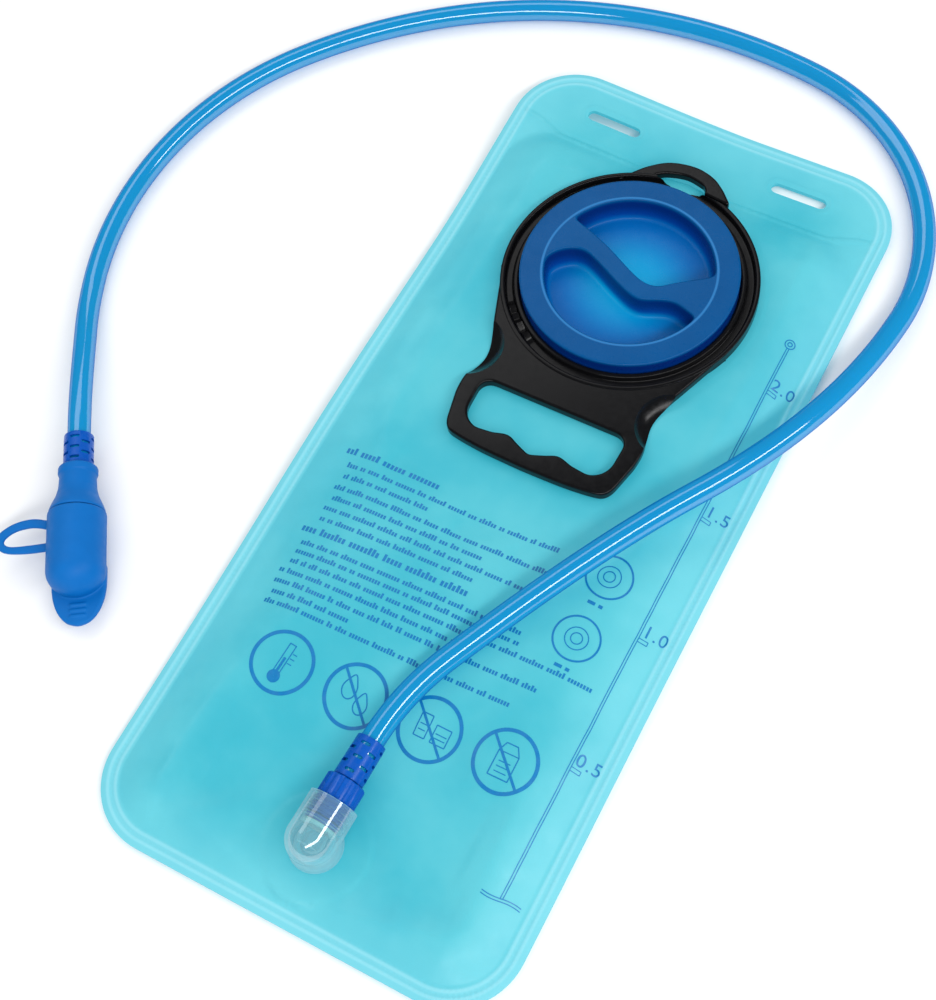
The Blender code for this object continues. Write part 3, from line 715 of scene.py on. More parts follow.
def ink_material():
    """Blue screen print, thin enough to let some film colour through."""
    s = Shader("print_ink")
    s.colour(s.noise(1.2, 4), linear(0, 112, 178), linear(4, 130, 194))
    s.roughness(3, 0.3, 0.45)
    s.see_through(0.12, linear(120, 220, 240))
    return s.material


def floor_material():
    s = Shader("studio_floor")
    s.colour(s.noise(300, 2), (0.90, 0.905, 0.91, 1), (0.92, 0.92, 0.92, 1))
    s.set("Roughness", 0.75)
    s.set("Specular IOR Level", 0.1)
    return s.material


# The bag's shape


def smooth_step(t):
    t = np.clip(t, 0, 1)
    return t * t * (3 - 2 * t)


def ease(t):
    return 1 - (1 - np.clip(t, 0, 1)) ** 2.2


def bell(distance, width):
    return np.exp(-((distance / width) ** 2))


def inside_distance(x, y, half_width, bottom, top, corner):
    """How far points lie inside a rounded rectangle about X = 0, negative outside it."""
    dx = np.abs(x) - half_width + corner
    dy = np.abs(y - (top + bottom) / 2) - (top - bottom) / 2 + corner
    return corner - np.minimum(np.maximum(dx, dy), 0) - np.hypot(np.maximum(dx, 0), np.maximum(dy, 0))


def from_port(x, y):
    return np.hypot(x - PORT[0], y - PORT[1])


def from_outlet(x, y):
    return np.hypot(x - OUTLET.x, y - OUTLET.y)


def from_fitting(x, y):
    """Distance from the line between the port's middle and the handle, which press the film flat."""
    return np.hypot(x - PORT[0], y - np.clip(y, HANDLE_PRESS_END, PORT[1]))


def strip_line(x):
    """Y of the weld below the hanging strip, which turns up at its ends."""
    return 155.2 + 5.5 * smooth_step((np.abs(x) - 58) / 20)


def edge_distance(x, y):
    return inside_distance(x, y, HALF_WIDTH, -HALF_LENGTH, HALF_LENGTH, CORNER)


def weld_distance(x, y):
    return inside_distance(x, y, HALF_WIDTH - RIM, RIM - HALF_LENGTH, STRIP_START, CORNER - RIM)


def slot_distance(x, y):
    """Distance from the nearer slot's edge, negative inside it."""
    nearest = np.full(np.shape(x), 1e3)
    for cx, cy in SLOT_CENTRES:
        along = np.clip(x - cx, -SLOT_HALF, SLOT_HALF)
        nearest = np.minimum(nearest, np.hypot(x - cx - along, y - cy) - SLOT_RADIUS)
    return nearest


def curl(x, y):
    """The empty bag's rim lifts off the floor, most at its top left corner and least along its right."""
    corner = 5.5 * smooth_step((105 - np.hypot(x + HALF_WIDTH, y - HALF_LENGTH)) / 100)
    side = 3.5 * smooth_step((-x - 52) / 34) * bell(y - 5, 75)
    right = 1.5 * smooth_step((x - 60) / 26) * bell(y + 60, 60)
    return corner + side + right


def rim_relief(x, y):
    """Two welded beads with a groove between them, round the whole outline."""
    inward = edge_distance(x, y)
    beads = 0.4 * bell(inward - 2.7, 0.7) - 0.2 * bell(inward - 4.1, 0.7) + 0.45 * bell(inward - 5.6, 0.75)
    edge = -0.35 * bell(inward, 0.7)
    return beads + edge


def strip_relief(x, y):
    """The weld across the bag below the hanging strip, and a lip round each slot."""
    line = strip_line(x)
    across = np.where(edge_distance(x, y) > 5.5, 1.0, 0.0)
    weld = 0.6 * bell(y - line, 0.8) - 0.32 * bell(y - line - 2.1, 0.9) - 0.2 * bell(y - line + 2.4, 1.2)
    return across * weld + 0.32 * bell(slot_distance(x, y) - 1.9, 0.8)


def plateau(distance, flat, top):
    return top - 1.8 * np.maximum(0, distance - flat)


def chamber_height(x, y):
    """Height of the face over the water space, pressed flat under the fittings."""
    inside = weld_distance(x, y)
    outlet = from_outlet(x, y)
    pillow = RIM_TOP + (CHAMBER_TOP - RIM_TOP) * ease(inside / PILLOW_RUN)
    raised = np.maximum(pillow, plateau(from_port(x, y), PORT_FLAT, PORT_FILM_TOP))
    raised = np.maximum(raised, plateau(outlet, OUTLET_FLAT, OUTLET_FILM_TOP))
    pressed = from_fitting(x, y)
    raised = np.minimum(raised, PORT_FILM_TOP + 0.08 * np.maximum(0, pressed - PORT_FLAT))
    raised = np.minimum(raised, OUTLET_FILM_TOP + 0.09 * np.maximum(0, outlet - OUTLET_FLAT))
    return np.where(inside > 0, raised, RIM_TOP)


def seat_freedom(x, y):
    """0 where a fitting or the weld holds the film, rising to 1 away from them."""
    outlet = from_outlet(x, y)
    pressed = from_fitting(x, y)
    free = smooth_step((pressed - PORT_FLAT - 2) / 16) * smooth_step((outlet - OUTLET_FLAT - 1) / 14)
    return free * smooth_step((weld_distance(x, y) - 1) / 9)


class Wrinkles:
    """Folds of the slack face: a cloth simulation's height change on a coarse grid."""

    SPACING = 5.0
    LIMIT = 1.1
    STEPS = 25
    SCALE = 0.01  # cloth settings suit objects of about a metre, so a decimetre stands for one
    CLOTH = {
        "quality": 6,
        "mass": 0.2,
        "tension_stiffness": 25,
        "compression_stiffness": 25,
        "shear_stiffness": 12,
        "bending_stiffness": 0.35,
        "vertex_group_mass": "held",
        "pin_stiffness": 3,
        "shrink_min": -0.035,
        "use_pressure": True,
        "uniform_pressure_force": 0.12,
    }

    def __init__(self):
        self.columns = int(2 * HALF_WIDTH / self.SPACING) + 1
        self.rows = int(2 * HALF_LENGTH / self.SPACING) + 1
        self.x = np.linspace(-HALF_WIDTH, HALF_WIDTH, self.columns)
        self.y = np.linspace(-HALF_LENGTH, HALF_LENGTH, self.rows)
        self.change = np.zeros((self.rows, self.columns))

    def simulate(self):
        grid_x, grid_y = np.meshgrid(self.x, self.y)
        rest = chamber_height(grid_x, grid_y)
        ripple = 0.4 * np.sin(grid_x / 9 + 1.3) * np.sin(grid_y / 13 + 0.4)
        points = np.stack([grid_x, grid_y, rest + ripple], -1).reshape(-1, 3) * self.SCALE
        faces = []
        for row in range(self.rows - 1):
            for column in range(self.columns - 1):
                a = row * self.columns + column
                faces.append((a, a + 1, a + 1 + self.columns, a + self.columns))
        mesh = bpy.data.meshes.new("film_cloth")
        mesh.from_pydata(points.tolist(), [], faces)
        obj = added("film_cloth", mesh)
        held = obj.vertex_groups.new(name="held")
        freedom = seat_freedom(grid_x, grid_y).ravel()
        for i, free in enumerate(freedom):
            held.add([i], float(1 - free) if free < 0.9 else 0.0, "REPLACE")
        cloth = obj.modifiers.new("cloth", "CLOTH")
        for key, value in self.CLOTH.items():
            setattr(cloth.settings, key, value)
        cloth.settings.effector_weights.gravity = 0
        cloth.collision_settings.use_collision = False
        scene = bpy.context.scene
        for step in range(1, self.STEPS + 1):
            scene.frame_set(step)
        depsgraph = bpy.context.evaluated_depsgraph_get()
        settled = obj.evaluated_get(depsgraph).data
        heights = np.array([v.co.z for v in settled.vertices]) / self.SCALE
        scene.frame_set(1)
        bpy.data.objects.remove(obj, do_unlink=True)
        change = heights.reshape(self.rows, self.columns) - rest
        change = np.nan_to_num(change)
        for _ in range(2):
            wide = np.pad(change, 1, "edge")
            beside = wide[:-2, 1:-1] + wide[2:, 1:-1] + wide[1:-1, :-2] + wide[1:-1, 2:]
            change = (4 * change + beside) / 8
        self.change = self.LIMIT * np.tanh(change / self.LIMIT)

    def at(self, x, y):
        column = np.clip((x + HALF_WIDTH) / (2 * HALF_WIDTH) * (self.columns - 1), 0, self.columns - 1.001)
        row = np.clip((y + HALF_LENGTH) / (2 * HALF_LENGTH) * (self.rows - 1), 0, self.rows - 1.001)
        c, r = np.floor(column).astype(int), np.floor(row).astype(int)
        u, v = smooth_step(column - c), smooth_step(row - r)
        low = self.change[r, c] * (1 - u) + self.change[r, c + 1] * u
        high = self.change[r + 1, c] * (1 - u) + self.change[r + 1, c + 1] * u
        return low * (1 - v) + high * v


wrinkles = Wrinkles()
wrinkles.simulate()


def slack(x, y):
    """Long shallow folds and small creases of thin film, which fade out at the weld and the fittings."""
    long_folds = 0.35 * np.sin(x / 17 + 0.8 * np.sin(y / 31)) * np.sin(y / 26 + 1.1)
    port = from_port(x, y)
    around = np.arctan2(y - PORT[1], x - PORT[0])
    rays = 0.28 * np.sin(around * 11 + 2 * np.sin(port / 14)) * bell(port - 66, 9)
    return long_folds + rays


def hose_room(x, y):
    """The highest that the film may stand under the hose, at rest and drawn back to its joint's limit."""
    away = np.hypot(np.asarray(x)[..., None] - hose_line[:, 0], np.asarray(y)[..., None] - hose_line[:, 1])
    under = hose_line[:, 2] - HOSE_OUTER - HOSE_GAP
    return np.min(under + 0.3 * np.maximum(0, away - HOSE_OUTER), axis=-1)


def lower_of(a, b, blend=0.3):
    """The smaller of two heights, with a rounded change from one to the other."""
    return a - blend * np.logaddexp(0, (a - b) / blend)


def face_top(x, y):
    """Height of the face film's outer surface."""
    flange = from_port(x, y)
    seat = -0.28 * smooth_step((flange - 54.6) / 1.6) * bell(flange - 56.5, 6)
    outlet = from_outlet(x, y)
    seat = seat - 0.3 * smooth_step((outlet - 19.2) / 1.3) * bell(outlet - 20.5, 4)
    free = seat_freedom(x, y)
    height = chamber_height(x, y) + free * (slack(x, y) + wrinkles.at(x, y)) + seat
    height = lower_of(height, hose_room(x, y))
    return height + rim_relief(x, y) + strip_relief(x, y) + curl(x, y)


def film_thickness(x, y):
    return RIM_FILM - (RIM_FILM - FILM) * smooth_step(weld_distance(x, y) / 4)


def back_bottom(x, y):
    """Height of the back film's underside: on the floor, with shallow creases, lifting to the rim."""
    inside = weld_distance(x, y)
    lift = RIM_LIFT * (1 - ease(inside / 12))
    creases = 0.5 + 0.5 * np.sin(x / 12 + 1.7 * np.sin(y / 37)) * np.sin(y / 19)
    return lift + 0.55 * creases * smooth_step(inside / 14) - 0.5 * rim_relief(x, y) + curl(x, y)


def bag_loop(distance, spacing=2.0):
    """The bag's outline moved inwards."""
    half_width = HALF_WIDTH - distance
    half_length = HALF_LENGTH - distance
    radius = max(CORNER - distance, 4)
    outline = []
    for x, y, start in ((1, 1, 0), (-1, 1, 90), (-1, -1, 180), (1, -1, 270)):
        centre = (x * (half_width - radius), y * (half_length - radius))
        outline += arc(centre, radius, start, start + 90, 24)
    return resampled(outline, spacing)


def slot_loop(centre, distance):
    right = arc((centre[0] + SLOT_HALF, centre[1]), SLOT_RADIUS + distance, -90, 90, 12)
    left = arc((centre[0] - SLOT_HALF, centre[1]), SLOT_RADIUS + distance, 90, 270, 12)
    return resampled(right + left, 1.0)


def film_points(seats):
    """Points over the bag: close together along the beads, slots and seats, and an even grid elsewhere."""
    points = []
    for distance in (0.5, 1.2, 1.9, 2.3, 2.7, 3.1, 3.6, 4.1, 4.6, 5.1, 5.6, 6.1, 6.8, 7.8, 9.4, 11.4):
        points.append(bag_loop(distance))
    for centre in SLOT_CENTRES:
        points += [slot_loop(centre, distance) for distance in (0.6, 1.2, 1.9, 2.6, 3.6)]
    for centre, radii in seats:
        points += [np.array(circle(centre, radius, max(24, round(radius * 3)))) for radius in radii]
    step = 2.2
    rows = np.arange(-HALF_LENGTH, HALF_LENGTH, step * 0.866)
    grid = []
    for number, y in enumerate(rows):
        x = np.arange(-HALF_WIDTH, HALF_WIDTH, step) + (number % 2) * step / 2
        grid.append(np.stack([x, np.full_like(x, y)], 1))
    grid = np.concatenate(grid)
    kept = (edge_distance(grid[:, 0], grid[:, 1]) > 12.8) & (slot_distance(grid[:, 0], grid[:, 1]) > 4.8)
    for centre, radii in seats:
        away = np.hypot(grid[:, 0] - centre[0], grid[:, 1] - centre[1])
        kept &= (away < min(radii) - 1.5) | (away > max(radii) + 1.5)
    points.append(grid[kept])
    across = np.arange(-78, 78.1, 1.5)
    for offset in (-2.4, -1.2, 0, 1, 2.1, 3.2):
        points.append(np.stack([across, strip_line(across) + offset], 1))
    return np.concatenate(points)


def film_shape(holes, top, bottom, seats):
    """A closed film between two height functions."""
    loops = [bag_loop(0)] + [slot_loop(centre, 0) for centre in SLOT_CENTRES] + holes
    points, triangles = triangulated(loops, film_points(seats))
    x, y = points[:, 0], points[:, 1]
    count = len(points)
    vertices = np.concatenate([np.stack([x, y, bottom(x, y)], 1), np.stack([x, y, top(x, y)], 1)])
    faces = [(c, b, a) for a, b, c in triangles.tolist()]
    faces += [(a + count, b + count, c + count) for a, b, c in triangles.tolist()]
    faces += [(a, b, b + count, a + count) for a, b in border(triangles.tolist())]
    used = sorted({i for face in faces for i in face})
    place = {old: new for new, old in enumerate(used)}
    return vertices[used].tolist(), [tuple(place[i] for i in face) for face in faces]


def build_bag(film):
    port_seat = (PORT, (42, 46, 50, 53, 54.2, 55, 55.8, 56.6, 57.6, 59, 61))
    outlet_seat = ((OUTLET.x, OUTLET.y), (10, 13, 16, 18, 19, 19.8, 20.6, 21.6, 23))
    holes = [np.array(circle(PORT, 40, 120)), np.array(circle((OUTLET.x, OUTLET.y), 7.9, 40))]
    shape = film_shape(
        holes, face_top, lambda x, y: face_top(x, y) - film_thickness(x, y), [port_seat, outlet_seat]
    )
    face = make_object("bag_face", shape, film, sharp=70)
    stands_for(face, "bag", "front_film")
    shape = film_shape([], lambda x, y: back_bottom(x, y) + film_thickness(x, y), back_bottom, [])
    back = make_object("bag_back", shape, film, sharp=70)
    stands_for(back, "bag", "back_film")


# Print on the face


def stroke(points, width, closed=False):
    """A printed line that follows the film, as a thin closed solid."""
    line = np.array(points, float)
    count = len(line)
    if closed:
        along = np.roll(line, -1, 0) - np.roll(line, 1, 0)
    else:
        along = np.gradient(line, axis=0)
    along /= np.hypot(*along.T)[:, None]
    side = np.stack([-along[:, 1], along[:, 0]], 1) * width / 2
    edges = (line + side, line - side)
    vertices = []
    for lift in (0.13, 0.05):
        for edge in edges:
            heights = face_top(edge[:, 0], edge[:, 1]) + lift
            vertices += np.column_stack([edge, heights]).tolist()
    faces = []
    for i in range(count if closed else count - 1):
        j = (i + 1) % count
        for a, b in ((0, 1), (1, 3), (3, 2), (2, 0)):
            faces.append((a * count + i, a * count + j, b * count + j, b * count + i))
    if not closed:
        for i in (0, count - 1):
            faces.append((i, count + i, 3 * count + i, 2 * count + i))
    return vertices, faces


def straight(start, end, width, spacing=1.8):
    """A printed straight line in short steps."""
    count = max(2, round(math.dist(start, end) / spacing) + 1)
    return stroke(np.linspace(start, end, count), width)


def path(points, width, spacing):
    """Printed straight lines from each point to the next."""
    return [straight(a, b, width, spacing) for a, b in zip(points, points[1:])]


def ring(centre, radius, width):
    return stroke(circle(centre, radius, max(24, round(radius * 5))), width, closed=True)


def lettering(text, size, place):
    """Printed figures as a thin mesh on the film."""
    curve = bpy.data.curves.new("figures", "FONT")
    curve.body = text
    curve.size = size
    curve.resolution_u = 6
    curve.space_character = 1.15
    obj = added("figures", curve)
    depsgraph = bpy.context.evaluated_depsgraph_get()
    mesh = bpy.data.meshes.new_from_object(obj.evaluated_get(depsgraph))
    flat = np.array([v.co[:2] for v in mesh.vertices]) + np.array(place)
    polygons = [list(p.vertices) for p in mesh.polygons]
    bpy.data.objects.remove(obj, do_unlink=True)
    flat, polygons = welded((flat, polygons))
    flat = np.array(flat)
    heights = face_top(flat[:, 0], flat[:, 1])
    count = len(flat)
    vertices = np.column_stack([flat, heights + 0.13]).tolist()
    vertices += np.column_stack([flat, heights + 0.05]).tolist()
    faces = [tuple(p) for p in polygons] + [tuple(i + count for i in reversed(p)) for p in polygons]
    faces += [(b, a, a + count, b + count) for a, b in border(polygons)]
    return vertices, faces


FIGURE_X = 50.5
SCALE_X = 69.4
SCALE_TOP = 97.5
SCALE_FOOT = -147
SCALE_MARKS = (("2.0", 74.8), ("1.5", 13.8), ("1.0", -41.1), ("0.5", -96.1))


def scale_shapes():
    """The volume scale: a double line from a small ring to a waved foot, with ticks and figures."""
    sides = (SCALE_X - 0.45, SCALE_X + 0.45)
    shapes = [straight((x, SCALE_TOP), (x, SCALE_FOOT), 0.32) for x in sides]
    shapes += [ring((SCALE_X, SCALE_TOP + 2.1), radius, 0.4) for radius in (2, 0.9)]
    for off in (0, 1.1):
        wave = [(x, SCALE_FOOT - off + 0.7 * math.sin((x - SCALE_X) / 3)) for x in np.arange(62.2, 76.7, 0.8)]
        shapes.append(stroke(wave, 0.35))
    for text, y in SCALE_MARKS:
        high, low = y + 2, y + 0.5
        tick = [(SCALE_X + 0.5, high), (SCALE_X + 4.2, high), (SCALE_X + 4.2, low), (SCALE_X + 0.5, low)]
        shapes += path(tick, 0.3, 0.7)
        shapes.append(lettering(text, 7.1, (SCALE_X + 0.8, y + 3.2)))
    return shapes


def bars(start, end, y, slant, height, source):
    """A line of small print, drawn only as groups of plain upright bars."""
    shapes = []
    x = start
    while x < end - 1.5:
        for _ in range(source.randint(2, 8)):
            foot = y + slant * (x - start)
            top = foot + height * source.choice((1, 1, 1, 1.4))
            shapes.append(stroke([(x, foot), (x, (foot + top) / 2), (x, top)], height * 0.52))
            x += height * 0.78
        x += height * 0.75
    return shapes


def text_shapes():
    source = random.Random(4)
    slant = 0.03
    shapes = []
    heading, text = 2.1, 1.55
    lines = [(-65.3, -26, -20.4, heading), (-64.4, -1.6, -56.9, heading)]
    lines += [(-62, 24.7, -25.9, text), (-61, -26, -30.8, text), (-62, 29.1, -36.2, text)]
    lines += [(-60.1, 3.8, -41, text), (-61, 24.3, -45.9, text), (-60, 4.2, -50.7, text)]
    lines += [(-61.6, 31.3, -62.3, text), (-61.6, 33, -66.4, text), (-61.4, 62.3, -70.8, text)]
    lines += [(-63.6, 18.1, -75.4, text), (-63.2, 49, -80, text), (-61.6, -28.9, -84.5, text)]
    lines += [(-62.4, 40, -88.8, text)]
    for start, end, y, height in lines:
        shapes += bars(start, end, y, slant, height, source)
    return shapes


def icon_thermometer(cx, cy):
    """A plain gauge tube with a bulb."""
    tilt = math.radians(-4)
    up = np.array((-math.sin(tilt), math.cos(tilt)))
    side = np.array((up[1], -up[0]))
    centre = np.array((cx, cy))
    bulb = centre - up * 6

    def at(base, rise, across=0.0):
        return tuple(base + up * rise + side * across)

    shapes = [ring(tuple(bulb), 1.3, 2.4)]
    shapes += [straight(at(bulb, 1.9, off), at(centre, 7.5, off), 0.4) for off in (-1.3, 1.3)]
    shapes.append(straight(at(centre, 7.6, -1.4), at(centre, 7.6, 1.4), 0.4, 0.5))
    shapes.append(straight(at(bulb, 2), at(centre, 2), 1.0))
    shapes += [straight(at(centre, rise, 1.8), at(centre, rise, 3.6), 0.35, 0.5) for rise in (0.5, 2.5, 4.5)]
    return shapes


def icon_drop(cx, cy):
    """Two drops."""
    shapes = []
    for ox, oy, size in ((-3.2, 1.4, 3.6), (3.2, -2.6, 3.2)):
        outline = []
        for i in range(40):
            angle = 2 * math.pi * i / 40
            pull = 1 + 0.55 * max(0.0, math.sin(angle)) ** 6
            outline.append((cx + ox + size * 0.8 * math.cos(angle), cy + oy + size * pull * math.sin(angle)))
        shapes.append(stroke(outline, 0.45, closed=True))
    return shapes


def icon_boxes(cx, cy):
    """Two plain containers."""
    shapes = []
    for ox, oy, w, h in ((-4, 0.5, 4.4, 8.6), (2.8, -0.6, 6, 6.6)):
        corners = [(ox, oy - h / 2), (ox + w, oy - h / 2), (ox + w, oy + h / 2), (ox, oy + h / 2)]
        corners = [(cx + x - 1, cy + y) for x, y in corners]
        shapes += path(corners + corners[:1], 0.42, 0.8)
        for share in (0.3, 0.55):
            y = cy + oy - h / 2 + h * share
            shapes.append(straight((cx + ox - 0.2, y), (cx + ox + w - 1.8, y), 0.35, 0.8))
    return shapes


def icon_block(cx, cy):
    """One tall container with a sloping lid."""
    outline = [(-4, -6.5), (4, -6.5), (4, 3), (2, 6.5), (-2.5, 6.5), (-4, 3), (-4, -6.5)]
    shapes = path([(cx + x, cy + y) for x, y in outline], 0.42, 0.8)
    shapes.append(straight((cx - 4, cy + 3), (cx + 4, cy + 3), 0.35, 0.8))
    shapes += [straight((cx - 2.4, cy - y), (cx + 2.4, cy - y), 0.35, 0.8) for y in (0.5, 2.5, 4.5)]
    return shapes


def mark_shapes():
    """Four care marks in heavy rings, three of them struck out, and two small round figures with captions."""
    shapes = []
    icons = (icon_thermometer, icon_drop, icon_boxes, icon_block)
    for number, icon in enumerate(icons):
        cx, cy = -42.9 + 30.5 * number, -107.2 + 1.1 * number
        shapes.append(ring((cx, cy), 11.7, 1.4))
        shapes += icon(cx, cy)
        if number:
            across = 8.6
            shapes.append(straight((cx - across, cy + across), (cx + across, cy - across), 1.0))
    for cy in (-23.9, -51.2):
        rings = ((8.8, 0.75), (4.4, 0.4), (2.2, 0.4))
        shapes += [ring((FIGURE_X, cy), radius, width) for radius, width in rings]
        caption = cy - 12.3
        shapes += [straight((a, caption), (b, caption), 1.3, 1) for a, b in ((47.6, 50.6), (52, 53.6))]
    return shapes


def build_print(ink):
    prints = {"volume_scale": scale_shapes, "small_print": text_shapes, "care_marks": mark_shapes}
    for name, shapes in prints.items():
        piece = make_object(name, joined(shapes()), ink, sharp=40)
        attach(piece, "bag")


# Cap


def pocket_loops():
    """The two hollows either side of the S-shaped grip."""
    upper = [(-23, 11), (-12, 6.5), (0.7, 0), (7.5, -2.6), (13.5, -2.2), (18, 1.5), (25, 6.5), (31.5, 11)]
    lower = [(30, -8), (23, -6), (16.5, -7.7), (10, -10.6), (5, -10), (-3, -6.6), (-12, -2), (-20, 1.3)]
    lower += [(-26, 0.2), (-31, -3.5)]
    loops = []
    for line, start, end in ((upper, 20, 156.5), (lower, 193.5, 345.5)):
        loop = spline(line, 8) + arc((0, 0), BOWL_RADIUS, start, end, 60)
        loops.append(softened(resampled(loop, 0.7), 14))
    return loops


def cap_shape():
    floor = BOWL_FLOOR
    section = [(-0.8, CAP_TOP), (-0.45, CAP_TOP - 0.05), (-0.15, CAP_TOP - 0.25), (0, CAP_TOP - 0.6)]
    section += [(0.12, CAP_TOP - 1.3), (0.3, CAP_TOP - 3), (0.6, floor + 4.5), (0.85, floor + 2.2)]
    section += [(1.1, floor + 1.2), (1.5, floor + 0.5), (2.1, floor + 0.12), (2.8, floor)]
    shapes = []
    pockets = pocket_loops()
    for pocket in pockets:
        rows = [[(x, y, z) for x, y in inset(pocket, off)] for off, z in section]
        shapes.append(lofted(rows))
        points, triangles = triangulated([inset(pocket, section[-1][0])])
        shapes.append(([(x, y, floor) for x, y in points], triangles.tolist()))
    steps = 180
    side = [(CAP_OUTER - 0.9, CAP_TOP), (CAP_OUTER - 0.45, CAP_TOP - 0.1), (CAP_OUTER - 0.12, CAP_TOP - 0.4)]
    side += [(CAP_OUTER, CAP_TOP - 0.9), (CAP_OUTER, 12.2), (CAP_OUTER - 0.3, 11.9), (CAP_OUTER - 1.8, 11.9)]
    side += [(42.3, 12.2), (42.3, 18.5), (36.2, 18.5)]
    side += [(35.2, floor - 0.2), (34.4, floor - 1.2), (33.2, floor - 1.5)]
    shapes.append(lofted([[(x, y, z) for x, y in circle((0, 0), r, steps)] for r, z in side]))
    rim = circle((0, 0), side[0][0], steps)
    points, triangles = triangulated([np.array(rim)] + [inset(pocket, section[0][0]) for pocket in pockets])
    shapes.append(([(x, y, CAP_TOP) for x, y in points], triangles.tolist()))
    base = circle((0, 0), side[-1][0], steps)
    shapes.append(([(x, y, side[-1][1]) for x, y in base], [tuple(range(steps))]))
    return welded(joined(shapes))


def build_cap(cap_plastic):
    cap = make_object("screw_cap", cap_shape(), cap_plastic, Matrix.Translation((*PORT, 0)), sharp=50)
    even_shading(cap)
    stands_for(cap, "cap", "cap_shell")


# Handle ring


def handle_outline():
    flank = spline(((41.5, -38.5), (38.3, -47.5), (37.2, -56), (37.7, -62), (39.2, -69), (39, -76)), 8)
    corner = spline(((36.3, -88.5), (34.6, -91.6), (31, -93.4), (18, -94.9), (0, -95.4)), 8)
    right = [(50.2, -15), *flank, *corner]
    back = arc((0, 0), RING_OUTER - 1, -162, -18, 70)
    return right + mirrored(right)[1:] + back


def hand_hole():
    right_top = arc((26.5, -71.2), 5, 90, 0, 8)
    right_low = arc((22.5, -78.5), 8.8, 0, -80, 12)
    bumps = spline(((17, -86.4), (11, -84.8), (6, -86.8), (0, -89.2)), 8)
    right = right_top + right_low + bumps
    return right + mirrored(right)[1:]


def hook_outline():
    points = [(-25.5, 43.6), (-22.3, 48.5), (-17, 54.6), (-9.5, 59.8), (1, 61.8), (10, 59.8), (16.5, 55.3)]
    outer = spline(points, 8)
    tip = [(21.2, 50.6), (20.6, 49.6), (9.6, 50.8), (9.5, 52.4)]
    inner = spline(((8, 54.4), (0, 56), (-8, 54.2), (-12.8, 51.4)), 8)
    root = arc((0, 0), RING_OUTER - 1.2, 103.5, 120, 10)
    return outer + tip + inner + root


def ring_shape():
    """The ring round the cap: a collar, a groove with stop bumps in it, and an outer rib."""
    groove, top, collar_top = 12.6, 15.3, 15.1
    profile = [(40.2, RING_BOTTOM), (40.2, RING_BOTTOM + 1.3), (44.9, RING_BOTTOM + 1.3), (44.9, collar_top)]
    profile += [(46.9, collar_top), (47.2, groove), (50.2, groove), (50.6, top), (RING_OUTER, top)]
    profile += [(RING_OUTER, RING_BOTTOM)]
    smooth = rounded(profile, 0.7, 4)
    stops = [math.radians(a) for a in (221, 226, 231, 238)]

    def stop_bumps(radius, height, angle):
        if 47.3 < radius < 50.3 and abs(height - groove) < 0.6:
            near = max(math.exp(-(((angle - stop) * 49 / 1.6) ** 2)) for stop in stops)
            return radius, height + 2.3 * near
        return radius, height

    return turned(smooth, 240, stop_bumps)


def build_handle_ring(black):
    place = Matrix.Translation((*PORT, 0))
    notch = [(-12, 50), (-4.8, 49.6), (-2.2, 48), (0, 47.7), (2.2, 48), (4.8, 49.4), (9.5, 49.7), (22, 47.9)]
    notch += [(22, 60), (-12, 60)]
    steps = [("DIFFERENCE", slab(notch, [], RING_BOTTOM - 2, 17.5, 0.3), place)]
    steps.append(("UNION", slab(hook_outline(), [], 10.5, 14.5, 0.9, 0.7, 1), place))
    steps.append(("UNION", slab(handle_outline(), [hand_hole()], 10.2, 14.8, 1.0), place))
    bowl = spline([(5.2, 9.6), (9.4, 10.8), (12.6, 12.9), (14.8, 15.4)], 6)
    scoop = turned([(0, 9.6), *bowl, (14.8, 17), (0, 17)], 64)
    for side in (-1, 1):
        steps.append(("DIFFERENCE", scoop, Matrix.Translation((PORT[0] + side * 44.5, PORT[1] - 54.8, 0))))
    handle_ring = carved("carry_handle", ring_shape(), black, place, steps, sharp=26)
    even_shading(handle_ring)
    stands_for(handle_ring, "bag", "handle_ring")


# Outlet


def thread_height(t, crest):
    """Height, from 0 to 1, of rounded thread rings with a crest at this place along the axis."""
    return max(0, math.cos(2 * math.pi * (t - crest) / THREAD_PITCH)) ** 1.5


def socket_shape(base):
    """The dome, its mouth, and a bore with thread rings that steps down to the seat."""
    dome = [(base * math.sin(a), -base * math.cos(a)) for a in [math.pi / 2 * i / 16 for i in range(16)]]
    dome[0] = (0, -base)
    bore = [(SOCKET_OUTER, SOCKET_MOUTH), (SOCKET_BORE, SOCKET_MOUTH)]
    for i in range(41):
        t = SOCKET_MOUTH - 0.6 - i * 0.2
        ridge = 0.45 * thread_height(t, 7.4) if 6.8 < t < 14.4 else 0
        bore.append((SOCKET_BORE - ridge, t))
    bore += [(7, 6), (7, SEAT), (4.9, SEAT), (4.9, -2), (4.2, -3), (0, -3.2)]
    return turned(dome + bore, 72)


def foot_shape(base):
    """The foot between the dome and the film."""
    low = OUTLET_FILM_TOP + 0.4
    foot = [(0, low), (base + 0.5, low), (base + 0.6, low + 0.4), (base + 0.3, low + 1.2)]
    foot += [(base + 0.1, low + 3), (base + 0.1, OUTLET.z), (0, OUTLET.z)]
    return turned(foot, 72)


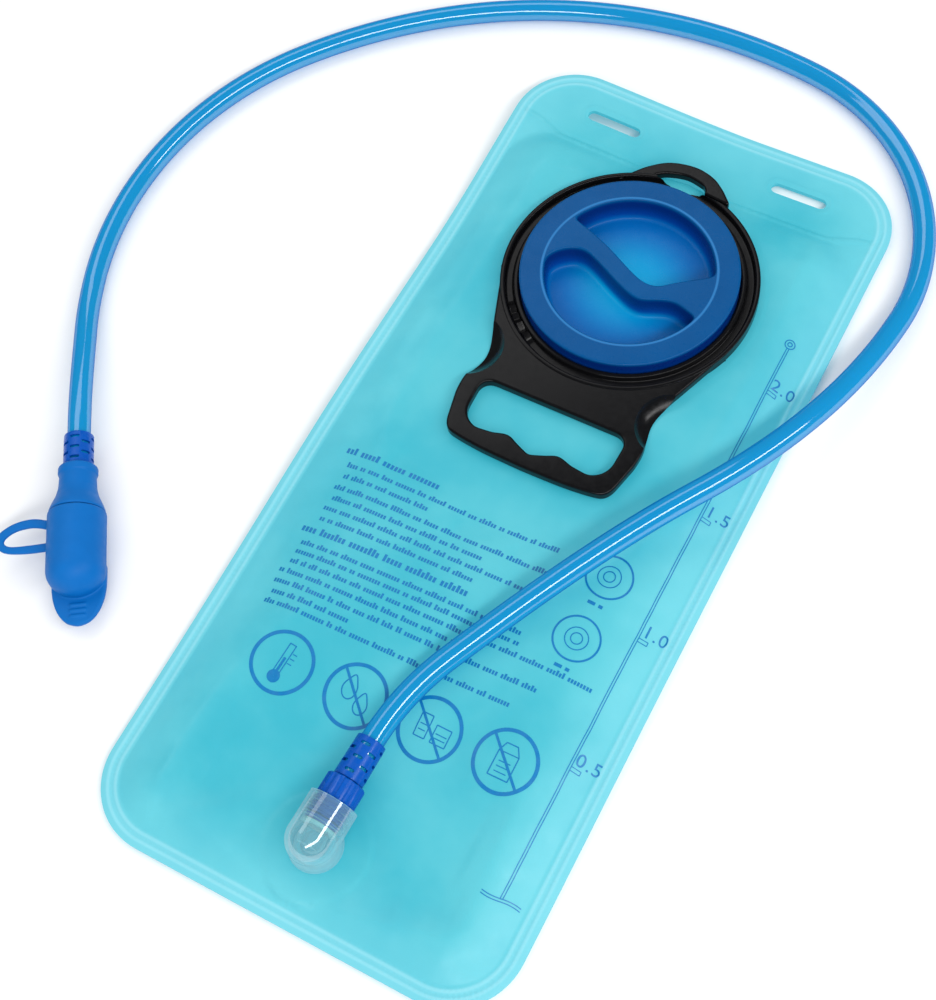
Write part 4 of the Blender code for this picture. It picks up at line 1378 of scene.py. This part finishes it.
def build_outlet(clear, blue):
    place = level_place(OUTLET_AXIS.normalized(), OUTLET)
    stand = Matrix.Translation((OUTLET.x, OUTLET.y, 0))
    base = SOCKET_OUTER + 0.1
    # The foot is hollowed a little wider than the bore, so that its cut ends inside the socket's wall.
    hollow = [(0, -3.6), (4.6, -3.4), (5.3, -2.2), (5.3, SEAT - 0.3), (7.4, SEAT - 0.3), (7.4, 5.7)]
    hollow += [(SOCKET_BORE + 0.4, 5.9), (SOCKET_BORE + 0.4, SOCKET_MOUTH), (0, SOCKET_MOUTH)]
    foot = carved("foot", foot_shape(base), clear, stand, [("DIFFERENCE", turned(hollow, 72), place)])
    well = [(0, 2), (7.8, 2), (7.8, 8.8), (7.2, 10.2), (6, 11.4), (4.5, 12.2), (4.5, OUTLET.z), (0, OUTLET.z)]
    well_tool = make_object("well_tool", turned(well, 48), clear, stand)
    socket = make_object("outlet_socket", socket_shape(base), clear, place)
    combine(socket, foot, "UNION")
    combine(socket, well_tool, "DIFFERENCE")
    bake(socket, [foot, well_tool], sharp=38)
    stands_for(socket, "bag", "outlet_elbow")

    nut = make_object("ribbed_nut", nut_shape(), blue, place, sharp=38)
    stands_for(nut, "nut", "hose_nut")
    sleeve = build_sleeve("outlet_sleeve", NUT_END + 0.3, 40.3, 5.95, 5.7, blue, place)
    stands_for(sleeve, "stem", "lower_sleeve")


def nut_shape():
    """A ribbed grip outside the socket and a threaded spigot inside it."""
    grip = SOCKET_MOUTH + 0.4
    profile = [(NUT_BORE, 8), (6.7, 8)]
    for i in range(31):
        t = 8.4 + i * 0.2
        ridge = 0.7 * thread_height(t, 8.6) if t < 13.6 else 0
        profile.append((NUT_ROOT + ridge, t))
    profile += [(NUT_ROOT, grip - 0.1), (6.95, grip), (7.35, grip + 0.4), (7.35, NUT_END - 0.6)]
    profile += [(7, NUT_END - 0.1), (6.6, NUT_END), (5.0, NUT_END), (NUT_BORE, NUT_END - 0.3)]

    def ribs(radius, height, angle):
        if radius > 7.3 and height > grip + 0.2:
            wave = max(-1.0, min(1.0, 2.2 * math.cos(14 * angle)))
            return radius + 0.25 * wave, height
        return radius, height

    return turned(profile, 168, ribs)


def build_sleeve(name, start, end, radius, end_radius, blue, place):
    """A strain-relief sleeve whose staggered windows have round ends."""
    bore = HOSE_OUTER + 0.25
    outside = [(radius, start), (end_radius, end)]
    profile = rounded([(bore, start), *outside, (bore, end)], 0.35, 3)
    rows = 5
    pitch = (end - start) / (rows + 1)
    corners = [(-1.9, -0.62), (1.9, -0.62), (1.9, 0.62), (-1.9, 0.62)]
    windows = []
    for row in range(rows):
        middle = start + pitch * (row + 1)
        for side in (0, 90, 180, 270):
            pill = rounded(corners, 0.6, 4)
            window = lofted([[(x, y, z) for y, z in pill] for x in (3, 8)])
            count = len(pill)
            window[1].extend([tuple(range(count)), tuple(range(count, 2 * count))])
            angle = math.radians(side + 45 * (row % 2))
            turn = Matrix.Rotation(angle, 4, "Z") @ Matrix.Translation((0, 0, middle))
            windows.append(moved(window, turn))
    cut = [("DIFFERENCE", joined(windows), place)]
    return carved(name, turned(profile, 72), blue, place, cut, sharp=38)


# Hose


def hose_frame(station):
    """Point and heading of the hose's centre line at a distance from its lower end, in plan."""
    heading = math.atan2(OUTLET_AXIS.y, OUTLET_AXIS.x)
    x = OUTLET.x + HOSE_START * math.cos(heading)
    y = OUTLET.y + HOSE_START * math.sin(heading)
    left = station
    for length, bend in HOSE_RUNS:
        run = min(left, length)
        turned_by = math.radians(bend) * run / length
        chord = run if turned_by == 0 else run * math.sin(turned_by / 2) / (turned_by / 2)
        x += chord * math.cos(heading + turned_by / 2)
        y += chord * math.sin(heading + turned_by / 2)
        heading += turned_by
        left -= run
    return x, y, heading


def hose_height(station):
    rise = float(smooth_step((station - 14) / (CREST_STATION - 14)))
    fall = float(smooth_step((station - CREST_STATION) / (FLOOR_STATION - CREST_STATION)))
    last = float(smooth_step((station - HOSE_TOTAL + 90) / 72))
    height = OUTLET.z + (HOSE_CREST - OUTLET.z) * rise
    height += (HOSE_OUTER - HOSE_CREST) * fall
    return height + (VALVE_HEIGHT - HOSE_OUTER) * last


def hose_point(station):
    x, y, _ = hose_frame(station)
    return Vector((x, y, hose_height(station)))


def hose_over_bag(step=3):
    """Points of the hose's centre line over the bag, at rest and drawn back."""
    rest = [hose_point(station) for station in range(0, FLEX_STATIONS[0] - FLEX_RUN, step)]
    return np.array([point + OUTLET_AXIS.normalized() * pull for pull in (0, HOSE_PULL) for point in rest])


hose_line = hose_over_bag()


def hose_shape(start, end, sides=40, spacing=2.0):
    """A stretch of tube with its wall, and the station of each of its vertices."""
    count = max(2, round((end - start) / spacing))
    sections = {HOSE_OUTER: [], HOSE_BORE: []}
    for i in range(count + 1):
        station = start + (end - start) * i / count
        centre = hose_point(station)
        along = (hose_point(station + 0.5) - hose_point(station - 0.5)).normalized()
        side = along.cross(Vector((0, 0, 1))).normalized()
        up = side.cross(along)
        for radius, rows in sections.items():
            rows.append([tuple(centre + side * x + up * y) for x, y in circle((0, 0), radius, sides)])
    rows = sections[HOSE_OUTER] + sections[HOSE_BORE][::-1]
    vertices, faces = lofted(rows + rows[:1])
    vertices = vertices[: len(rows) * sides]
    faces = [tuple(i % len(vertices) for i in face) for face in faces]
    outer = [start + (end - start) * i / count for i in range(count + 1)]
    stations = [s for s in outer + outer[::-1] for _ in range(sides)]
    bore_faces = range((count + 1) * sides, (2 * count + 1) * sides)
    return (vertices, faces), stations, bore_faces


def build_hose(outside, bore):
    """Three lengths of tube, split at the seams, each holding one of the hose's joints, that replace the CAD
    hose lengths.
    """
    cad = (("hose_outlet_length",), ("hose_right_length",), ("hose_left_length", "hose_valve_length"))
    ends = (0, *SEAMS, HOSE_TOTAL)
    for number, flex in enumerate(FLEX_STATIONS):
        shape, stations, bore_faces = hose_shape(ends[number], ends[number + 1])
        tube = make_object(f"hose_length_{number + 1}", shape, outside, sharp=60)
        tube.data.materials.append(bore)
        for i in bore_faces:
            tube.data.polygons[i].material_index = 1
        start = hose_point(flex - FLEX_RUN) * MM
        end = hose_point(flex + FLEX_RUN) * MM
        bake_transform(tube)
        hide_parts(*cad[number])


# Bite valve


def tongue_outline():
    half = COVER_OUTER - 0.6
    start, end = 64, 83
    side = [(half, start - 6)]
    for i in range(17):
        share = i / 16
        side.append((half * math.sqrt(1 - share**2.2), start + (end - start) * share))
    return side[:-1] + [(0, end)] + mirrored(side[:-1])


def loop_outlines():
    root = COVER_OUTER - 1.5
    outer = [(root, 39.6), (17, 37.6), (25, 38.8), (31.4, 43), (32.2, 47.2), (28.5, 51), (20, 52.3)]
    outer.append((root, 52.2))
    inner = [(root, 43.4), (17, 41.4), (24, 42.2), (28.4, 45), (28.8, 47), (26, 48.7), (18, 48.9)]
    inner.append((root, 48.6))
    return spline(outer, 8) + spline(inner, 8)[::-1]


def rounded_end(radius, start, end, steps=14):
    points = []
    for i in range(steps):
        angle = math.pi / 2 * i / steps
        points.append((radius * math.cos(angle), start + (end - start) * math.sin(angle)))
    return points + [(0, end)]


def build_cover(soft_blue, place):
    """The dust cover: a cup with a leaf-shaped tongue and a finger loop, softened into one moulding."""
    outside = [(0, 38), (COVER_OUTER, 38), (COVER_OUTER, 40)]
    outside += rounded_end(COVER_OUTER, 62, 72)
    lay_flat = Matrix.Rotation(math.pi / 2, 4, "X")
    additions = [slab(tongue_outline(), [], -6.3, -3.7, 0.8, 0.9, 2)]
    additions.append(slab(loop_outlines(), [], -1.0, 1.0, 0.7, 0.8, 3))
    for along in (74.4, 76.7, 79.0):
        rib = [(-3.2, along - 0.5), (3.2, along - 0.5), (3.2, along + 0.5), (-3.2, along + 0.5)]
        additions.append(slab(rib, [], -4.2, -3.1, 0.35, 0.5, 1))
    steps = [("UNION", moved(shape, lay_flat), place) for shape in additions]
    cavity = [(0, 34), (10.2, 34)] + rounded_end(10.2, 62, 68)
    steps.append(("DIFFERENCE", turned(cavity, 96), place))
    cover = carved("mouth_cover", turned(outside, 96), soft_blue, place, steps)
    remesh = cover.modifiers.new("remesh", "REMESH")
    remesh.mode = "VOXEL"
    remesh.voxel_size = 0.4 * MM
    smooth = cover.modifiers.new("smooth", "SMOOTH")
    smooth.factor = 0.5
    smooth.iterations = 6
    bake(cover)
    stands_for(cover, "cover", "dust_cover")


def build_valve(soft_blue, blue):
    x, y, heading = hose_frame(HOSE_TOTAL - VALVE_ENTRY)
    place = level_place(Vector((math.cos(heading), math.sin(heading), 0)), (x, y, VALVE_HEIGHT))
    sleeve = build_sleeve("valve_sleeve", 3, 17, 5.9, 6, blue, place)
    stands_for(sleeve, "valve", "upper_sleeve")

    outside = [(4.4, 14.6), (4.4, 17.3), (7.2, 17.3), (7.85, 17.9), (7.85, 20.3), (7.35, 20.9)]
    outside += [(7.3, 22), (7.4, 24)]
    outside += spline([(7.6, 27), (8.5, 30.5), (10, 34), (10.9, 36.4), (11, 37.3)], 5)
    outside += [(10.8, 37.6), (5.2, 37.6), (5.2, 50), (3.4, 50), (3.4, 19), (1.7, 17), (1.7, 4), (2.7, 4)]
    outside += [(2.7, 8), (2.85, 8.3), (2.7, 9.6), (2.7, 14.6)]
    body = make_object("valve_grip", turned(rounded(outside, 0.35, 3), 96), soft_blue, place, sharp=45)
    stands_for(body, "valve", "valve_body")

    tip_profile = [(6.6, 39.4), (8.8, 39.4), (9, 40.6), (8.8, 41.8), (7.7, 42.6), (7.4, 50), (7.9, 54)]
    tip_profile += [(7.6, 57.4), (6.4, 59.6), (4.6, 60.2), (2.3, 60.2), (2.3, 57.6), (4.4, 55.6)]
    tip_profile += [(5.9, 53.4), (6.6, 51.6)]
    tip = make_object("bite_mouthpiece", turned(rounded(tip_profile, 0.5, 4), 96), soft_blue, place, sharp=50)
    stands_for(tip, "tip", "bite_tip")
    build_cover(soft_blue, place)


# CAD pieces that are shown as they are


def finish_node(name, material, width=0.12):
    node = frame["nodes"][name]
    node.data.materials.clear()
    node.data.materials.append(material)
    bevel = node.modifiers.new("soft_edges", "BEVEL")
    bevel.width = width * MM
    bevel.segments = 2
    bevel.limit_method = "ANGLE"
    bevel.angle_limit = math.radians(35)
    bevel.use_clamp_overlap = True


# Studio


def add_strip(name, heading, elevation, distance, length, width, power, target):
    """A strip light that lies along a heading, seen from the target at right angles to it."""
    data = bpy.data.lights.new(name, "AREA")
    data.shape = "RECTANGLE"
    data.size = length
    data.size_y = width
    data.energy = power
    along = Vector((math.cos(math.radians(heading)), math.sin(math.radians(heading)), 0))
    rise = math.radians(elevation)
    aim = Vector((along.y * math.cos(rise), -along.x * math.cos(rise), math.sin(rise)))
    place = place_with(along, aim.cross(along), aim, Vector(target) + aim * distance)
    added(name, data).matrix_world = place


def build_studio():
    corners = [(x * FLOOR_HALF, y * FLOOR_HALF, FLOOR_LEVEL) for x, y in ((-1, -1), (1, -1), (1, 1), (-1, 1))]
    make_object("floor", (corners, [(0, 1, 2, 3)]), floor_material())
    world = bpy.data.worlds.new("studio")
    bpy.context.scene.world = world
    world.use_nodes = True
    tree = world.node_tree
    background = tree.nodes["Background"]
    path = tree.nodes.new("ShaderNodeLightPath")
    level = tree.nodes.new("ShaderNodeMapRange")
    level.inputs["To Min"].default_value = 0.74
    level.inputs["To Max"].default_value = 0.10
    tree.links.new(path.outputs["Is Glossy Ray"], level.inputs["Value"])
    tree.links.new(level.outputs["Result"], background.inputs["Strength"])
    background.inputs["Color"].default_value = (0.97, 0.985, 1, 1)
    target = (0, 0.03, 0)
    add_strip("key", 62, 50, 1.3, 2.6, 0.24, 16, target)
    add_strip("fill", 62, 125, 1.5, 1.8, 0.5, 4, target)


def build_camera():
    data = bpy.data.cameras.new("camera")
    data.lens = CAMERA_LENS
    data.sensor_width = 36
    camera = added("camera", data)
    back = CAMERA_RIGHT.cross(CAMERA_UP).normalized()
    camera.matrix_world = place_with(CAMERA_RIGHT, CAMERA_UP, back, CAMERA_PLACE)
    bpy.context.scene.camera = camera
    bpy.context.scene.view_settings.view_transform = "Standard"


film = film_material()
black = black_material()
blue = blue_material()
soft_blue = soft_material()
clear = clear_material()
rubber = rubber_material()
moulding = moulding_material()

build_bag(film)
build_print(ink_material())
build_cap(cap_material())
build_handle_ring(black)
build_outlet(clear, blue)
build_hose(hose_material(), hose_bore_material())
build_valve(soft_blue, blue)
for name in ("port_flange", "outlet_flange"):
    finish_node(name, moulding)
for name in ("cap_gasket", "outlet_seal", "tip_seal"):
    finish_node(name, rubber)
for name in ("hose_stem", "valve_plug"):
    finish_node(name, blue, 0.05)
build_studio()
build_camera()
